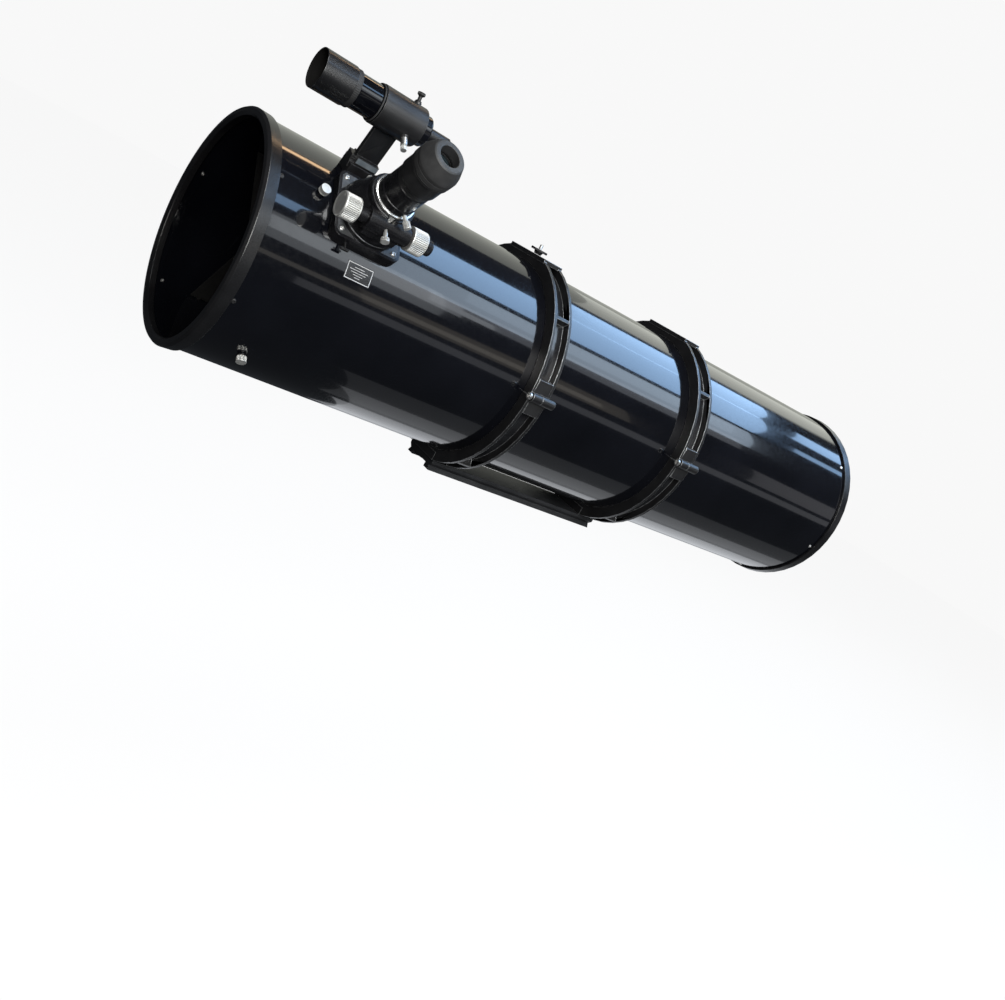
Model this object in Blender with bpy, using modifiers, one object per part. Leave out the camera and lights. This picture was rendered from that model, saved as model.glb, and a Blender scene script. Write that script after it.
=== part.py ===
"""A 12-inch f/5 newtonian reflector in its two hinged cradle rings on a dovetail plate.

Frame: metres, +Z up, the tube lies along X with its open end at -X.  The origin is the middle
of the dovetail plate's underside, which is the face that a mount's saddle holds.
"""
import math

import bmesh
import bpy
from mathutils import Matrix, Vector

# ---------------------------------------------------------------- driving dimensions
TUBE_R = 0.178                  # outside radius of the rolled steel tube
TUBE_WALL = 0.0012
TUBE_LENGTH = 1.410             # over both end rings
AXIS_HEIGHT = 0.215             # tube axis above the dovetail plate's underside
MIDDLE_STATION = 0.718          # from the front rim back to the middle of the plate
GAP = 0.0003                    # between touching pieces

FOCAL_LENGTH = 1.500
MIRROR_R = 0.1525
MIRROR_THICKNESS = 0.040
MIRROR_FACE = 1.325             # station of the mirror's front edge

END_RING_R = 0.1835
FRONT_RING_LENGTH = 0.022
REAR_RING_FRONT = 1.388

SPIDER_STATION = 0.088
SPIDER_ANGLES = (45, 135, 225, 315)
VANE_WIDTH = 0.030
VANE_THICKNESS = 0.0012
HUB_R = 0.022
SECONDARY_R = 0.035             # half of the flat's 70 mm minor axis
SECONDARY_THICKNESS = 0.012

SPOKE_ANGLES = (90, 210, 330)
SPOKE_WIDTH = 0.050
SPOKE_FRONT = 1.3985
SPOKE_BACK = 1.4085
KNOB_CIRCLE_R = 0.118
LOCK_CIRCLE_R = 0.084
CELL_R = 0.158
CELL_BACK = 1.3785
CELL_FLOOR = 1.3658

RING_STATIONS = {"front": 0.514, "rear": 0.877}
RING_WIDTH = 0.039
RING_BORE_R = 0.1786
RING_FLOOR_R = 0.186
RING_OUTER_R = 0.200
RING_FLANGE = 0.006
PAD_HALF = 0.0575
PAD_TOP = 0.1955
FOOT_HALF = 0.046
FOOT_BOTTOM = -0.1947
HINGE_Y = -0.203
HINGE_R = 0.008
PIN_R = 0.003
CLAMP_Y = 0.217

PLATE_START = 0.518
PLATE_LENGTH = 0.400

FOCUSER_STATION = 0.162
FOCUSER_ANGLE = 43
SHAFT_SIDE = -0.036             # pinion shaft, to the side of the drawtube's axis
SHAFT_HEIGHT = 0.228
SHAFT_R = 0.003
LOCK_X = -0.0025                # drawtube lock screw, through the pinion housing above the shaft
LOCK_HEIGHT = 0.2355
CLAMP_AZIMUTH = -68              # eyepiece clamp screw, around the drawtube's head
CLAMP_HEIGHT = 0.2560

FINDER_ANGLE = 69
FINDER_HEIGHT = 0.2855
TILT_STATION = 0.1092           # rubber ring that the finder pivots in
SCREW_STATION = 0.168
SCREW_ANGLES = {"a": 62, "b": -62}
PLUNGER_ANGLE = 205
PLUNGER_STATION = 0.162
SHOE_SCREW_X = 0.158

# facets round a turned piece, by its size
TUBE_STEPS = 48
MIRROR_STEPS = 36
BARREL_STEPS = 24
KNOB_STEPS = 16
SMALL_STEPS = 12
SCREW_STEPS = 10

# ---------------------------------------------------------------- finishes: colour, roughness, metallic
FINISHES = {
    "gloss_black_paint": ((0.012, 0.014, 0.018), 0.12, 0.0),
    "satin_black": ((0.022, 0.022, 0.024), 0.45, 0.0),
    "matt_black": ((0.010, 0.010, 0.010), 0.85, 0.0),
    "black_anodised": ((0.020, 0.020, 0.023), 0.35, 0.6),
    "bare_aluminium": ((0.72, 0.71, 0.68), 0.32, 1.0),
    "bright_steel": ((0.66, 0.66, 0.64), 0.22, 1.0),
    "mirror_coating": ((0.90, 0.91, 0.92), 0.02, 1.0),
    "rubber": ((0.030, 0.030, 0.031), 0.75, 0.0),
    "coated_glass": ((0.10, 0.16, 0.20), 0.05, 0.0),
}


# ---------------------------------------------------------------- scene and collections
def clear_scene():
    for obj in list(bpy.data.objects):
        bpy.data.objects.remove(obj, do_unlink=True)


def collection(name):
    group = bpy.data.collections.new(name)
    bpy.context.scene.collection.children.link(group)
    return group


clear_scene()
PARTS = collection("newtonian_telescope")
CUTTERS = collection("cutters")


# ---------------------------------------------------------------- frames
def turn_to(axis, across=(1, 0, 0)):
    """A rotation whose Z lies along axis, with its X as near to across as it can be."""
    z = Vector(axis).normalized()
    x = Vector(across) - z * z.dot(Vector(across))
    if x.length < 1e-6:
        x = Vector((0, 0, 1)) - z * z.z
    x.normalize()
    y = z.cross(x)
    return Matrix((x, y, z)).transposed().to_4x4()


def home(name, matrix, parent=None):
    """An empty that an assembly's pieces are placed from."""
    empty = bpy.data.objects.new(name, None)
    PARTS.objects.link(empty)
    empty.parent = parent
    empty.matrix_local = matrix
    return empty


def radial_home(name, station, angle):
    """Frame on the tube axis: X along the tube, Z straight out at angle up from the -Y side."""
    a = math.radians(angle)
    outward = (0, -math.cos(a), math.sin(a))
    return home(name, Matrix.Translation((station, 0, 0)) @ turn_to(outward), TUBE_HOME)


TUBE_HOME = home("tube_axis", Matrix.Translation((-MIDDLE_STATION, 0, AXIS_HEIGHT)))
FOCUSER_HOME = radial_home("focuser_axis", FOCUSER_STATION, FOCUSER_ANGLE)
SHOE_HOME = radial_home("finder_shoe_frame", 0, FINDER_ANGLE)
FINDER_HOME = home("finder_axis", Matrix.Translation((0, 0, FINDER_HEIGHT)), SHOE_HOME)


# ---------------------------------------------------------------- making solids
def finish(name, kind):
    colour, roughness, metallic = FINISHES[kind]
    material = bpy.data.materials.new(name + "_finish")
    material.use_nodes = True
    shader = material.node_tree.nodes["Principled BSDF"]
    shader.inputs["Base Color"].default_value = (*colour, 1)
    shader.inputs["Roughness"].default_value = roughness
    shader.inputs["Metallic"].default_value = metallic
    return material


def place(mesh, name, frame, at=(0, 0, 0), axis=(0, 0, 1), across=(1, 0, 0), kind=None):
    """Make an object in an assembly's frame; with no finish it is a cutter or a lump to join."""
    obj = bpy.data.objects.new(name, mesh)
    (PARTS if kind else CUTTERS).objects.link(obj)
    obj.parent = frame
    obj.matrix_local = Matrix.Translation(at) @ turn_to(axis, across)
    if kind:
        mesh.materials.append(finish(name, kind))
    else:
        obj.hide_render = True
        obj.display_type = "WIRE"
    return obj


def turned(name, frame, profile, at=(0, 0, 0), axis=(0, 0, 1), steps=BARREL_STEPS, kind=None):
    """Turn a profile of (radius, height) points; a loop off the axis, or a line from axis to axis."""
    on_axis = profile[0][0] == 0
    pairs = list(zip(profile, profile[1:] + profile[:1]))
    if sum(r0 * h1 - r1 * h0 for (r0, h0), (r1, h1) in pairs) > 0:
        profile = profile[::-1]
    count = len(profile)
    edges = [(i, (i + 1) % count) for i in range(count - 1 if on_axis else count)]
    mesh = bpy.data.meshes.new(name)
    mesh.from_pydata([(r, 0, h) for r, h in profile], edges, [])
    obj = place(mesh, name, frame, at, axis, kind=kind)
    screw = obj.modifiers.new("Turn", "SCREW")
    screw.steps = screw.render_steps = steps
    screw.use_merge_vertices = True
    screw.merge_threshold = 0.00001
    return obj


def block(name, frame, low, high, axis=(0, 0, 1), across=(1, 0, 0), bevel=0.0, kind=None):
    """A box between two corners of its own turned frame."""
    bm = bmesh.new()
    bmesh.ops.create_cube(bm, size=1.0)
    size = Vector(high) - Vector(low)
    middle = (Vector(high) + Vector(low)) / 2
    bmesh.ops.scale(bm, vec=size, verts=bm.verts)
    bmesh.ops.translate(bm, vec=middle, verts=bm.verts)
    if bevel:
        upright = [e for e in bm.edges if abs(e.verts[0].co.z - e.verts[1].co.z) > size.z / 2]
        bmesh.ops.bevel(bm, geom=upright, offset=bevel, segments=4, affect="EDGES", profile=0.5)
    mesh = bpy.data.meshes.new(name)
    bm.to_mesh(mesh)
    bm.free()
    return place(mesh, name, frame, axis=axis, across=across, kind=kind)


def rod(name, frame, radius, start, end, steps=KNOB_STEPS, kind=None):
    """A round bar between two points of the frame."""
    along = Vector(end) - Vector(start)
    bm = bmesh.new()
    bmesh.ops.create_cone(bm, cap_ends=True, segments=steps, radius1=radius, radius2=radius,
                          depth=along.length)
    mesh = bpy.data.meshes.new(name)
    bm.to_mesh(mesh)
    bm.free()
    return place(mesh, name, frame, (Vector(start) + Vector(end)) / 2, along, kind=kind)


def mesh_from_curve(curve, name):
    """The curve's evaluated solid as a welded mesh."""
    guide = bpy.data.objects.new(name + "_guide", curve)
    CUTTERS.objects.link(guide)
    bpy.context.view_layer.update()
    mesh = bpy.data.meshes.new_from_object(guide.evaluated_get(bpy.context.evaluated_depsgraph_get()))
    bpy.data.objects.remove(guide)
    bm = bmesh.new()
    bm.from_mesh(mesh)
    bmesh.ops.remove_doubles(bm, verts=bm.verts, dist=1e-6)
    bm.to_mesh(mesh)
    bm.free()
    mesh.name = name
    return mesh


def outlined(name, frame, points, start, end, kind=None):
    """A flat (y, z) outline drawn out along the tube from one station to another."""
    curve = bpy.data.curves.new(name, "CURVE")
    curve.dimensions = "2D"
    curve.fill_mode = "BOTH"
    curve.extrude = (end - start) / 2
    spline = curve.splines.new("POLY")
    spline.points.add(len(points) - 1)
    for point, (y, z) in zip(spline.points, points):
        point.co = (y, z, 0, 1)
    spline.use_cyclic_u = True
    mesh = mesh_from_curve(curve, name)
    return place(mesh, name, frame, ((start + end) / 2, 0, 0), (1, 0, 0), (0, 1, 0), kind)


def combine(obj, others, operation):
    for other in others:
        step = obj.modifiers.new(operation.title(), "BOOLEAN")
        step.operation = operation
        step.solver = "EXACT"
        step.object = other


def join(obj, *others):
    combine(obj, others, "UNION")


def cut(obj, *others):
    combine(obj, others, "DIFFERENCE")


def polar(radius, angle, station=0.0):
    """A point round the tube axis, with the angle measured up from the -Y side."""
    a = math.radians(angle)
    return Vector((station, -radius * math.cos(a), radius * math.sin(a)))


def settle():
    """Fix every part's modifiers into its mesh, smooth its round faces and drop the cutters."""
    bpy.context.view_layer.update()
    graph = bpy.context.evaluated_depsgraph_get()
    solids = [obj for obj in PARTS.objects if obj.type == "MESH"]
    final = [(obj, bpy.data.meshes.new_from_object(obj.evaluated_get(graph))) for obj in solids]
    for obj, mesh in final:
        obj.modifiers.clear()
        obj.data = mesh
        mesh.shade_smooth()
        mesh.set_sharp_from_angle(angle=math.radians(32))
    for obj in list(CUTTERS.objects):
        bpy.data.objects.remove(obj, do_unlink=True)


# ---------------------------------------------------------------- tube and end rings
def main_tube():
    inner = TUBE_R - TUBE_WALL
    front, rear = 0.0055, 1.402
    tube = turned("main_tube", TUBE_HOME,
                  [(TUBE_R, rear), (TUBE_R, front), (inner, front), (inner, rear)],
                  axis=(1, 0, 0), steps=TUBE_STEPS, kind="gloss_black_paint")
    cut(tube, rod("focuser_opening", FOCUSER_HOME, 0.034, (0, 0, 0.15), (0, 0, 0.20), BARREL_STEPS))
    for angle in SPIDER_ANGLES:
        cut(tube, rod("stud_hole", TUBE_HOME, 0.0035, polar(0.16, angle, SPIDER_STATION),
                      polar(0.19, angle, SPIDER_STATION), SCREW_STEPS))


def front_end_ring():
    groove_in, groove_out = TUBE_R - TUBE_WALL - GAP, TUBE_R + GAP
    back = FRONT_RING_LENGTH
    section = [(groove_in, 0.014), (groove_in, 0.005), (groove_out, 0.005), (groove_out, back),
               (END_RING_R - 0.001, back), (END_RING_R, 0.005), (END_RING_R - 0.003, 0.0008),
               (0.1735, 0.0), (0.1692, 0.004), (0.1700, 0.014)]
    turned("front_end_ring", TUBE_HOME, section, axis=(1, 0, 0), steps=TUBE_STEPS, kind="satin_black")


def rear_cell_frame():
    """End ring with three spokes that carry the mirror cell's screws."""
    outer, back = END_RING_R, TUBE_LENGTH
    section = [(TUBE_R + GAP, REAR_RING_FRONT), (outer - 0.001, REAR_RING_FRONT),
               (outer, back - 0.004), (outer - 0.003, back), (0.166, back), (0.166, 1.3975),
               (TUBE_R - TUBE_WALL - GAP, 1.3975), (TUBE_R - TUBE_WALL - GAP, 1.4025),
               (TUBE_R + GAP, 1.4025)]
    ring = turned("rear_cell_frame", TUBE_HOME, section, axis=(1, 0, 0), steps=TUBE_STEPS,
                  kind="satin_black")
    hub = [(0.050, 1.3970), (0.050, 1.4095), (0.028, 1.4095), (0.028, 1.3970)]
    join(ring, turned("spoke_hub", TUBE_HOME, hub, axis=(1, 0, 0), steps=BARREL_STEPS))
    for angle in SPOKE_ANGLES:
        out = polar(1, angle)
        join(ring, block("spoke", TUBE_HOME, (SPOKE_FRONT, -SPOKE_WIDTH / 2, 0.034),
                         (SPOKE_BACK, SPOKE_WIDTH / 2, 0.171), axis=out))
    for angle in SPOKE_ANGLES:
        for radius, hole in ((KNOB_CIRCLE_R, 0.0045), (LOCK_CIRCLE_R, 0.0028)):
            cut(ring, rod("screw_hole", TUBE_HOME, hole, polar(radius, angle, 1.39),
                          polar(radius, angle, 1.42), SMALL_STEPS))


# ---------------------------------------------------------------- spider and secondary mirror
def spider():
    half = 0.013
    hub = [(HUB_R, SPIDER_STATION + half), (HUB_R, SPIDER_STATION - half),
           (0.0035, SPIDER_STATION - half), (0.0035, SPIDER_STATION + half)]
    body = turned("spider", TUBE_HOME, hub, axis=(1, 0, 0), steps=BARREL_STEPS, kind="matt_black")
    for angle in SPIDER_ANGLES:
        out = polar(1, angle)
        low = (SPIDER_STATION - VANE_WIDTH / 2, -VANE_THICKNESS / 2, HUB_R - 0.004)
        high = (SPIDER_STATION + VANE_WIDTH / 2, VANE_THICKNESS / 2, 0.1745)
        join(body, block("vane", TUBE_HOME, low, high, axis=out))
        join(body, rod("stud", TUBE_HOME, 0.0025, out * 0.170 + Vector((SPIDER_STATION, 0, 0)),
                       out * 0.1865 + Vector((SPIDER_STATION, 0, 0)), SCREW_STEPS))
    screw_line = polar(0.014, FOCUSER_ANGLE)
    cut(body, rod("tilt_screw_hole", TUBE_HOME, 0.0021, screw_line + Vector((0.06, 0, 0)),
                  screw_line + Vector((0.12, 0, 0)), SCREW_STEPS))


def spider_nuts():
    profile = [(0, 0.1910), (0.0075, 0.1910), (0.0075, 0.1825), (0.0062, 0.1815),
               (0.0062, 0.1788), (0.0029, 0.1788), (0.0029, 0.1870), (0, 0.1870)]
    for number, angle in enumerate(SPIDER_ANGLES, 1):
        turned(f"spider_nut_{number}", TUBE_HOME, profile, (SPIDER_STATION, 0, 0), polar(1, angle),
               SMALL_STEPS, "bare_aluminium")


def sliced_cylinder(name, radius, start, end, faces, kind):
    """A round bar along the tube, cut off by sloping planes (height on the axis, keep sign)."""
    slope = Vector((1, 0, 1)).normalized()
    bm = bmesh.new()
    bmesh.ops.create_cone(bm, cap_ends=True, segments=40, radius1=radius, radius2=radius,
                          depth=end - start)
    bmesh.ops.transform(bm, matrix=Matrix.Translation(((start + end) / 2, 0, 0))
                        @ Matrix.Rotation(math.pi / 2, 4, "Y"), verts=bm.verts)
    for height, keep_below in faces:
        geom = bm.verts[:] + bm.edges[:] + bm.faces[:]
        made = bmesh.ops.bisect_plane(bm, geom=geom, plane_co=slope * height, plane_no=slope,
                                      clear_outer=keep_below, clear_inner=not keep_below)
        rim = [item for item in made["geom_cut"] if isinstance(item, bmesh.types.BMEdge)]
        bmesh.ops.holes_fill(bm, edges=rim)
    bmesh.ops.recalc_face_normals(bm, faces=bm.faces)
    mesh = bpy.data.meshes.new(name)
    bm.to_mesh(mesh)
    bm.free()
    return place(mesh, name, FOCUSER_HOME, kind=kind)


def secondary():
    reach = SECONDARY_R + 0.03
    back_of_flat = -SECONDARY_THICKNESS
    sliced_cylinder("secondary_mirror", SECONDARY_R, -reach, reach,
                    [(0.0, True), (back_of_flat, False)], "mirror_coating")
    holder_front = 0.107 - FOCUSER_STATION
    holder = sliced_cylinder("secondary_holder", SECONDARY_R - 0.0015, holder_front, reach,
                             [(back_of_flat - GAP, True)], "matt_black")
    cut(holder, rod("bolt_bore", TUBE_HOME, 0.0040, (0.100, 0, 0), (0.121, 0, 0), SMALL_STEPS))
    bolt = [(0, 0.119), (0.003, 0.119), (0.003, 0.0747), (0.006, 0.0747), (0.006, 0.0695),
            (0, 0.0695)]
    turned("secondary_centre_bolt", TUBE_HOME, bolt, axis=(1, 0, 0), steps=SMALL_STEPS,
           kind="bright_steel")
    screw = [(0, 0.1060), (0.0016, 0.1060), (0.0016, 0.0747), (0.0032, 0.0747), (0.0032, 0.0710),
             (0, 0.0710)]
    turned("secondary_tilt_screw", TUBE_HOME, screw, polar(0.014, FOCUSER_ANGLE), (1, 0, 0), SCREW_STEPS,
           "bright_steel")


# ---------------------------------------------------------------- primary mirror and its cell
def primary_mirror():
    back = MIRROR_FACE + MIRROR_THICKNESS
    rim = MIRROR_R - 0.0015
    dish = [(r, MIRROR_FACE + (rim ** 2 - r ** 2) / (4 * FOCAL_LENGTH))
            for r in (rim * (4 - i) / 4 for i in range(5))]
    profile = [(0, back), (rim, back), (MIRROR_R, back - 0.0015), (MIRROR_R, MIRROR_FACE + 0.0015)]
    turned("primary_mirror", TUBE_HOME, profile + dish, axis=(1, 0, 0), steps=MIRROR_STEPS,
           kind="mirror_coating")


def mirror_cell():
    wall = CELL_R - 0.0035
    section = [(CELL_R, CELL_BACK), (CELL_R, 1.345), (wall, 1.345), (wall, CELL_FLOOR),
               (0.070, CELL_FLOOR), (0.070, CELL_BACK)]
    cell = turned("mirror_cell", TUBE_HOME, section, axis=(1, 0, 0), steps=MIRROR_STEPS, kind="satin_black")
    for angle in SPOKE_ANGLES:
        cut(cell, rod("bolt_hole", TUBE_HOME, 0.0045, polar(KNOB_CIRCLE_R, angle, 1.36),
                      polar(KNOB_CIRCLE_R, angle, 1.39), SMALL_STEPS))


def spring_mesh(name, radius, length, turns, wire):
    """An open coil along its own Z."""
    curve = bpy.data.curves.new(name, "CURVE")
    curve.dimensions = "3D"
    curve.bevel_depth = wire
    curve.bevel_resolution = 1
    curve.use_fill_caps = True
    points_each_turn = 8
    count = int(turns * points_each_turn) + 1
    spline = curve.splines.new("POLY")
    spline.points.add(count - 1)
    for i, point in enumerate(spline.points):
        a = 2 * math.pi * i / points_each_turn
        point.co = (radius * math.cos(a), radius * math.sin(a), length * i / (count - 1), 1)
    return mesh_from_curve(curve, name)


def collimation_hardware():
    knob_base = SPOKE_BACK + 0.0004
    knob = [(0, 1.427), (0.0135, 1.427), (0.0135, 1.4140), (0.009, 1.4125), (0.009, knob_base),
            (0.003, knob_base), (0.003, 1.3700), (0, 1.3700)]
    lock = [(0, 1.4165), (0.0065, 1.4165), (0.0065, knob_base), (0.002, knob_base),
            (0.002, 1.3805), (0, 1.3805)]
    wire, spring_start = 0.0008, 1.3815
    spring_length = SPOKE_FRONT - GAP - 2 * wire - spring_start
    for number, angle in enumerate(SPOKE_ANGLES, 1):
        turned(f"collimation_knob_{number}", TUBE_HOME, knob, polar(KNOB_CIRCLE_R, angle),
               (1, 0, 0), KNOB_STEPS, "satin_black")
        turned(f"cell_lock_screw_{number}", TUBE_HOME, lock, polar(LOCK_CIRCLE_R, angle),
               (1, 0, 0), SCREW_STEPS, "bright_steel")
        name = f"collimation_spring_{number}"
        mesh = spring_mesh(name, 0.0066, spring_length, 3.5, wire)
        place(mesh, name, TUBE_HOME, polar(KNOB_CIRCLE_R, angle, spring_start + wire), (1, 0, 0),
              kind="bright_steel")


# ---------------------------------------------------------------- cradle rings
def half_ring(where, station, upper):
    """One half of a cast cradle ring: a channel section with ribs, a pad or foot, hinge and lug."""
    side = 1 if upper else -1
    start, end = station, station + RING_WIDTH
    web_start, web_end = start + RING_FLANGE, end - RING_FLANGE
    section = [(RING_OUTER_R, end), (RING_OUTER_R, web_end), (RING_FLOOR_R, web_end),
               (RING_FLOOR_R, web_start), (RING_OUTER_R, web_start), (RING_OUTER_R, start),
               (RING_BORE_R, start), (RING_BORE_R, end)]
    name = f"ring_{'upper' if upper else 'lower'}_{where}"
    ring = turned(name, TUBE_HOME, section, axis=(1, 0, 0), steps=TUBE_STEPS, kind="satin_black")

    rib_start, rib_end = web_start - 0.001, web_end + 0.001
    for angle in (39.5, 140.5) if upper else (-57.5, -122.5):
        join(ring, block("rib", TUBE_HOME, (rib_start, -0.003, RING_FLOOR_R - 0.002),
                         (rib_end, 0.003, RING_OUTER_R - 0.0008), axis=polar(1, angle)))
    for y in (-RING_OUTER_R + 0.0006, RING_OUTER_R - 0.0166):
        join(ring, block("end_block", TUBE_HOME, (rib_start, y, min(0, side * 0.030)),
                         (rib_end, y + 0.016, max(0, side * 0.030))))
    proud = 0.0004
    if upper:
        join(ring, block("pad", TUBE_HOME, (start - proud, -PAD_HALF, PAD_TOP - 0.007),
                         (end + proud, PAD_HALF, PAD_TOP + 0.002)))
        cut(ring, block("pad_level", TUBE_HOME, (start - 0.01, -0.1, PAD_TOP),
                        (end + 0.01, 0.1, PAD_TOP + 0.03)))
    else:
        join(ring, block("foot", TUBE_HOME, (start - proud, -FOOT_HALF, FOOT_BOTTOM - 0.002),
                         (end + proud, FOOT_HALF, -0.180)))
        cut(ring, block("foot_level", TUBE_HOME, (start - 0.01, -0.1, FOOT_BOTTOM - 0.03),
                        (end + 0.01, 0.1, FOOT_BOTTOM)))
    join(ring, block("clamp_lug", TUBE_HOME, (rib_start, 0.190, min(0, side * 0.014)),
                     (rib_end, 0.230, max(0, side * 0.014))))
    split_low, split_high = (-0.3, GAP) if upper else (-GAP, 0.3)
    cut(ring, block("split", TUBE_HOME, (start - 0.02, -0.3, split_low), (end + 0.02, 0.3, split_high)))
    add_hinge_and_clamp(ring, start, end, upper)


def add_hinge_and_clamp(ring, start, end, upper):
    """The upper half carries the front knuckle, the lower half the longer rear one."""
    middle = start + 0.021
    if upper:
        knuckle, clearance = (start + 0.0015, middle - GAP), (middle, end + 0.029)
    else:
        knuckle, clearance = (middle + GAP, end + 0.009), (start - 0.019, middle)
    cut(ring, rod("knuckle_clearance", TUBE_HOME, HINGE_R + 0.0006, (clearance[0], HINGE_Y, 0),
                  (clearance[1], HINGE_Y, 0), KNOB_STEPS))
    join(ring, rod("knuckle", TUBE_HOME, HINGE_R, (knuckle[0], HINGE_Y, 0),
                   (knuckle[1], HINGE_Y, 0), KNOB_STEPS))
    cut(ring, rod("pin_bore", TUBE_HOME, PIN_R + GAP, (start - 0.02, HINGE_Y, 0),
                  (end + 0.03, HINGE_Y, 0), SMALL_STEPS))
    centre = start + RING_WIDTH / 2
    cut(ring, rod("clamp_bore", TUBE_HOME, 0.0047, (centre, CLAMP_Y, -0.05),
                  (centre, CLAMP_Y, 0.05), SMALL_STEPS))


def ring_hardware(where, station):
    head = station - 0.0004
    tail = station + RING_WIDTH + 0.010
    pin = [(0, tail), (PIN_R, tail), (PIN_R, head), (0.0058, head), (0.0058, head - 0.0045),
           (0, head - 0.0045)]
    turned(f"hinge_pin_{where}", TUBE_HOME, pin, (0, HINGE_Y, 0), (1, 0, 0), SMALL_STEPS, "bright_steel")
    clamp = [(0, 0.044), (0.0150, 0.044), (0.0150, 0.026), (0.0070, 0.0235), (0.0070, 0.0144),
             (0.0040, 0.0144), (0.0040, -0.0135), (0, -0.0135)]
    turned(f"clamp_screw_{where}", TUBE_HOME, clamp, (station + RING_WIDTH / 2, CLAMP_Y, 0),
           steps=KNOB_STEPS, kind="satin_black")


def cradle():
    for where, station in RING_STATIONS.items():
        half_ring(where, station, True)
        half_ring(where, station, False)
        ring_hardware(where, station)
    camera_screw = [(0, 0.2135), (0.003, 0.2135), (0.003, 0.2050), (0.0150, 0.2050),
                    (0.0150, 0.2012), (0.0080, 0.2012), (0.0060, 0.1959), (0, 0.1959)]
    turned("accessory_screw", TUBE_HOME, camera_screw,
           (RING_STATIONS["front"] + RING_WIDTH / 2, 0, 0), steps=KNOB_STEPS, kind="satin_black")


def dovetail_plate():
    top, bottom = 0.020 - AXIS_HEIGHT, -AXIS_HEIGHT
    right = [(0.046, top), (0.046, top - 0.0055), (0.038, top - 0.012), (0.043, bottom)]
    outline = right + [(-y, z) for y, z in reversed(right)]
    start, end = PLATE_START, PLATE_START + PLATE_LENGTH
    plate = outlined("dovetail_plate", TUBE_HOME, outline, start, end, "satin_black")
    land = 0.040
    for low, high in ((start - 0.01, MIDDLE_STATION - land), (MIDDLE_STATION + land, end + 0.01)):
        cut(plate, block("channel", TUBE_HOME, (low, -0.025, bottom - 0.01),
                         (high, 0.025, bottom + 0.008)))


# ---------------------------------------------------------------- focuser and eyepiece
def focuser_base():
    half_x, half_y, top = 0.055, 0.054, 0.189
    base = block("focuser_base", FOCUSER_HOME, (-half_x, -half_y, 0.1690), (half_x, half_y, top),
                 bevel=0.013, kind="black_anodised")
    boss = [(0.0515, 0.1950), (0.0515, 0.1870), (0.0350, 0.1870), (0.0350, 0.1950)]
    join(base, turned("boss", FOCUSER_HOME, boss, steps=BARREL_STEPS))
    cut(base, rod("saddle", TUBE_HOME, TUBE_R + GAP, (0.05, 0, 0), (0.28, 0, 0), 144))
    cut(base, rod("base_bore", FOCUSER_HOME, 0.0335, (0, 0, 0.15), (0, 0, 0.21), BARREL_STEPS))


def focuser_body():
    """A cone that guides the drawtube, with the pinion housing across its near side."""
    cone = [(0.0360, 0.2460), (0.0375, 0.2445), (0.0375, 0.2365), (0.0400, 0.2340),
            (0.0490, 0.2040), (0.0500, 0.2020), (0.0500, 0.1953), (0.0290, 0.1953),
            (0.0290, 0.2460)]
    body = turned("focuser_body", FOCUSER_HOME, cone, steps=BARREL_STEPS, kind="black_anodised")
    line = (SHAFT_SIDE, SHAFT_HEIGHT)
    for radius, start, end in ((0.0160, -0.031, 0.034), (0.0100, -0.046, -0.030),
                               (0.0140, 0.033, 0.0385)):
        join(body, rod("pinion_housing", FOCUSER_HOME, radius, (start, *line), (end, *line), KNOB_STEPS))
    join(body, block("housing_web", FOCUSER_HOME, (-0.027, -0.0500, 0.2080),
                     (0.027, -0.0250, 0.2360)))
    cut(body, rod("draw_bore", FOCUSER_HOME, 0.0290, (0, 0, 0.18), (0, 0, 0.26), BARREL_STEPS))
    cut(body, block("rack_slot", FOCUSER_HOME, (-0.0055, -0.0402, 0.18), (0.0055, -0.02, 0.26)))
    cut(body, rod("shaft_bore", FOCUSER_HOME, SHAFT_R + GAP, (-0.08, *line), (0.08, *line), SMALL_STEPS))
    cut(body, rod("lock_hole", FOCUSER_HOME, 0.0026, (LOCK_X, -0.08, LOCK_HEIGHT),
                  (LOCK_X, -0.0392, LOCK_HEIGHT), SCREW_STEPS))


def drawtube():
    tube = [(0.0285, 0.2620), (0.0300, 0.2605), (0.0300, 0.2512), (0.0330, 0.2500),
            (0.0330, 0.2466), (0.0285, 0.2466), (0.0285, 0.1520), (0.0262, 0.1520),
            (0.0262, 0.2620)]
    draw = turned("drawtube", FOCUSER_HOME, tube, steps=BARREL_STEPS, kind="black_anodised")
    join(draw, block("rack", FOCUSER_HOME, (-0.004, -0.0325, 0.156), (0.004, -0.0275, 0.2462)))
    a = math.radians(CLAMP_AZIMUTH)
    out = Vector((math.cos(a), math.sin(a), 0))
    lift = Vector((0, 0, CLAMP_HEIGHT))
    cut(draw, rod("clamp_hole", FOCUSER_HOME, 0.0022, out * 0.0272 + lift, out * 0.035 + lift, SCREW_STEPS))
    screw = [(0, 0.0500), (0.0052, 0.0500), (0.0052, 0.0400), (0.0035, 0.0390),
             (0.0035, 0.0312), (0.0018, 0.0312), (0.0018, 0.0276), (0, 0.0276)]
    turned("eyepiece_clamp_screw", FOCUSER_HOME, screw, lift, out, SCREW_STEPS, "bare_aluminium")


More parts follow.
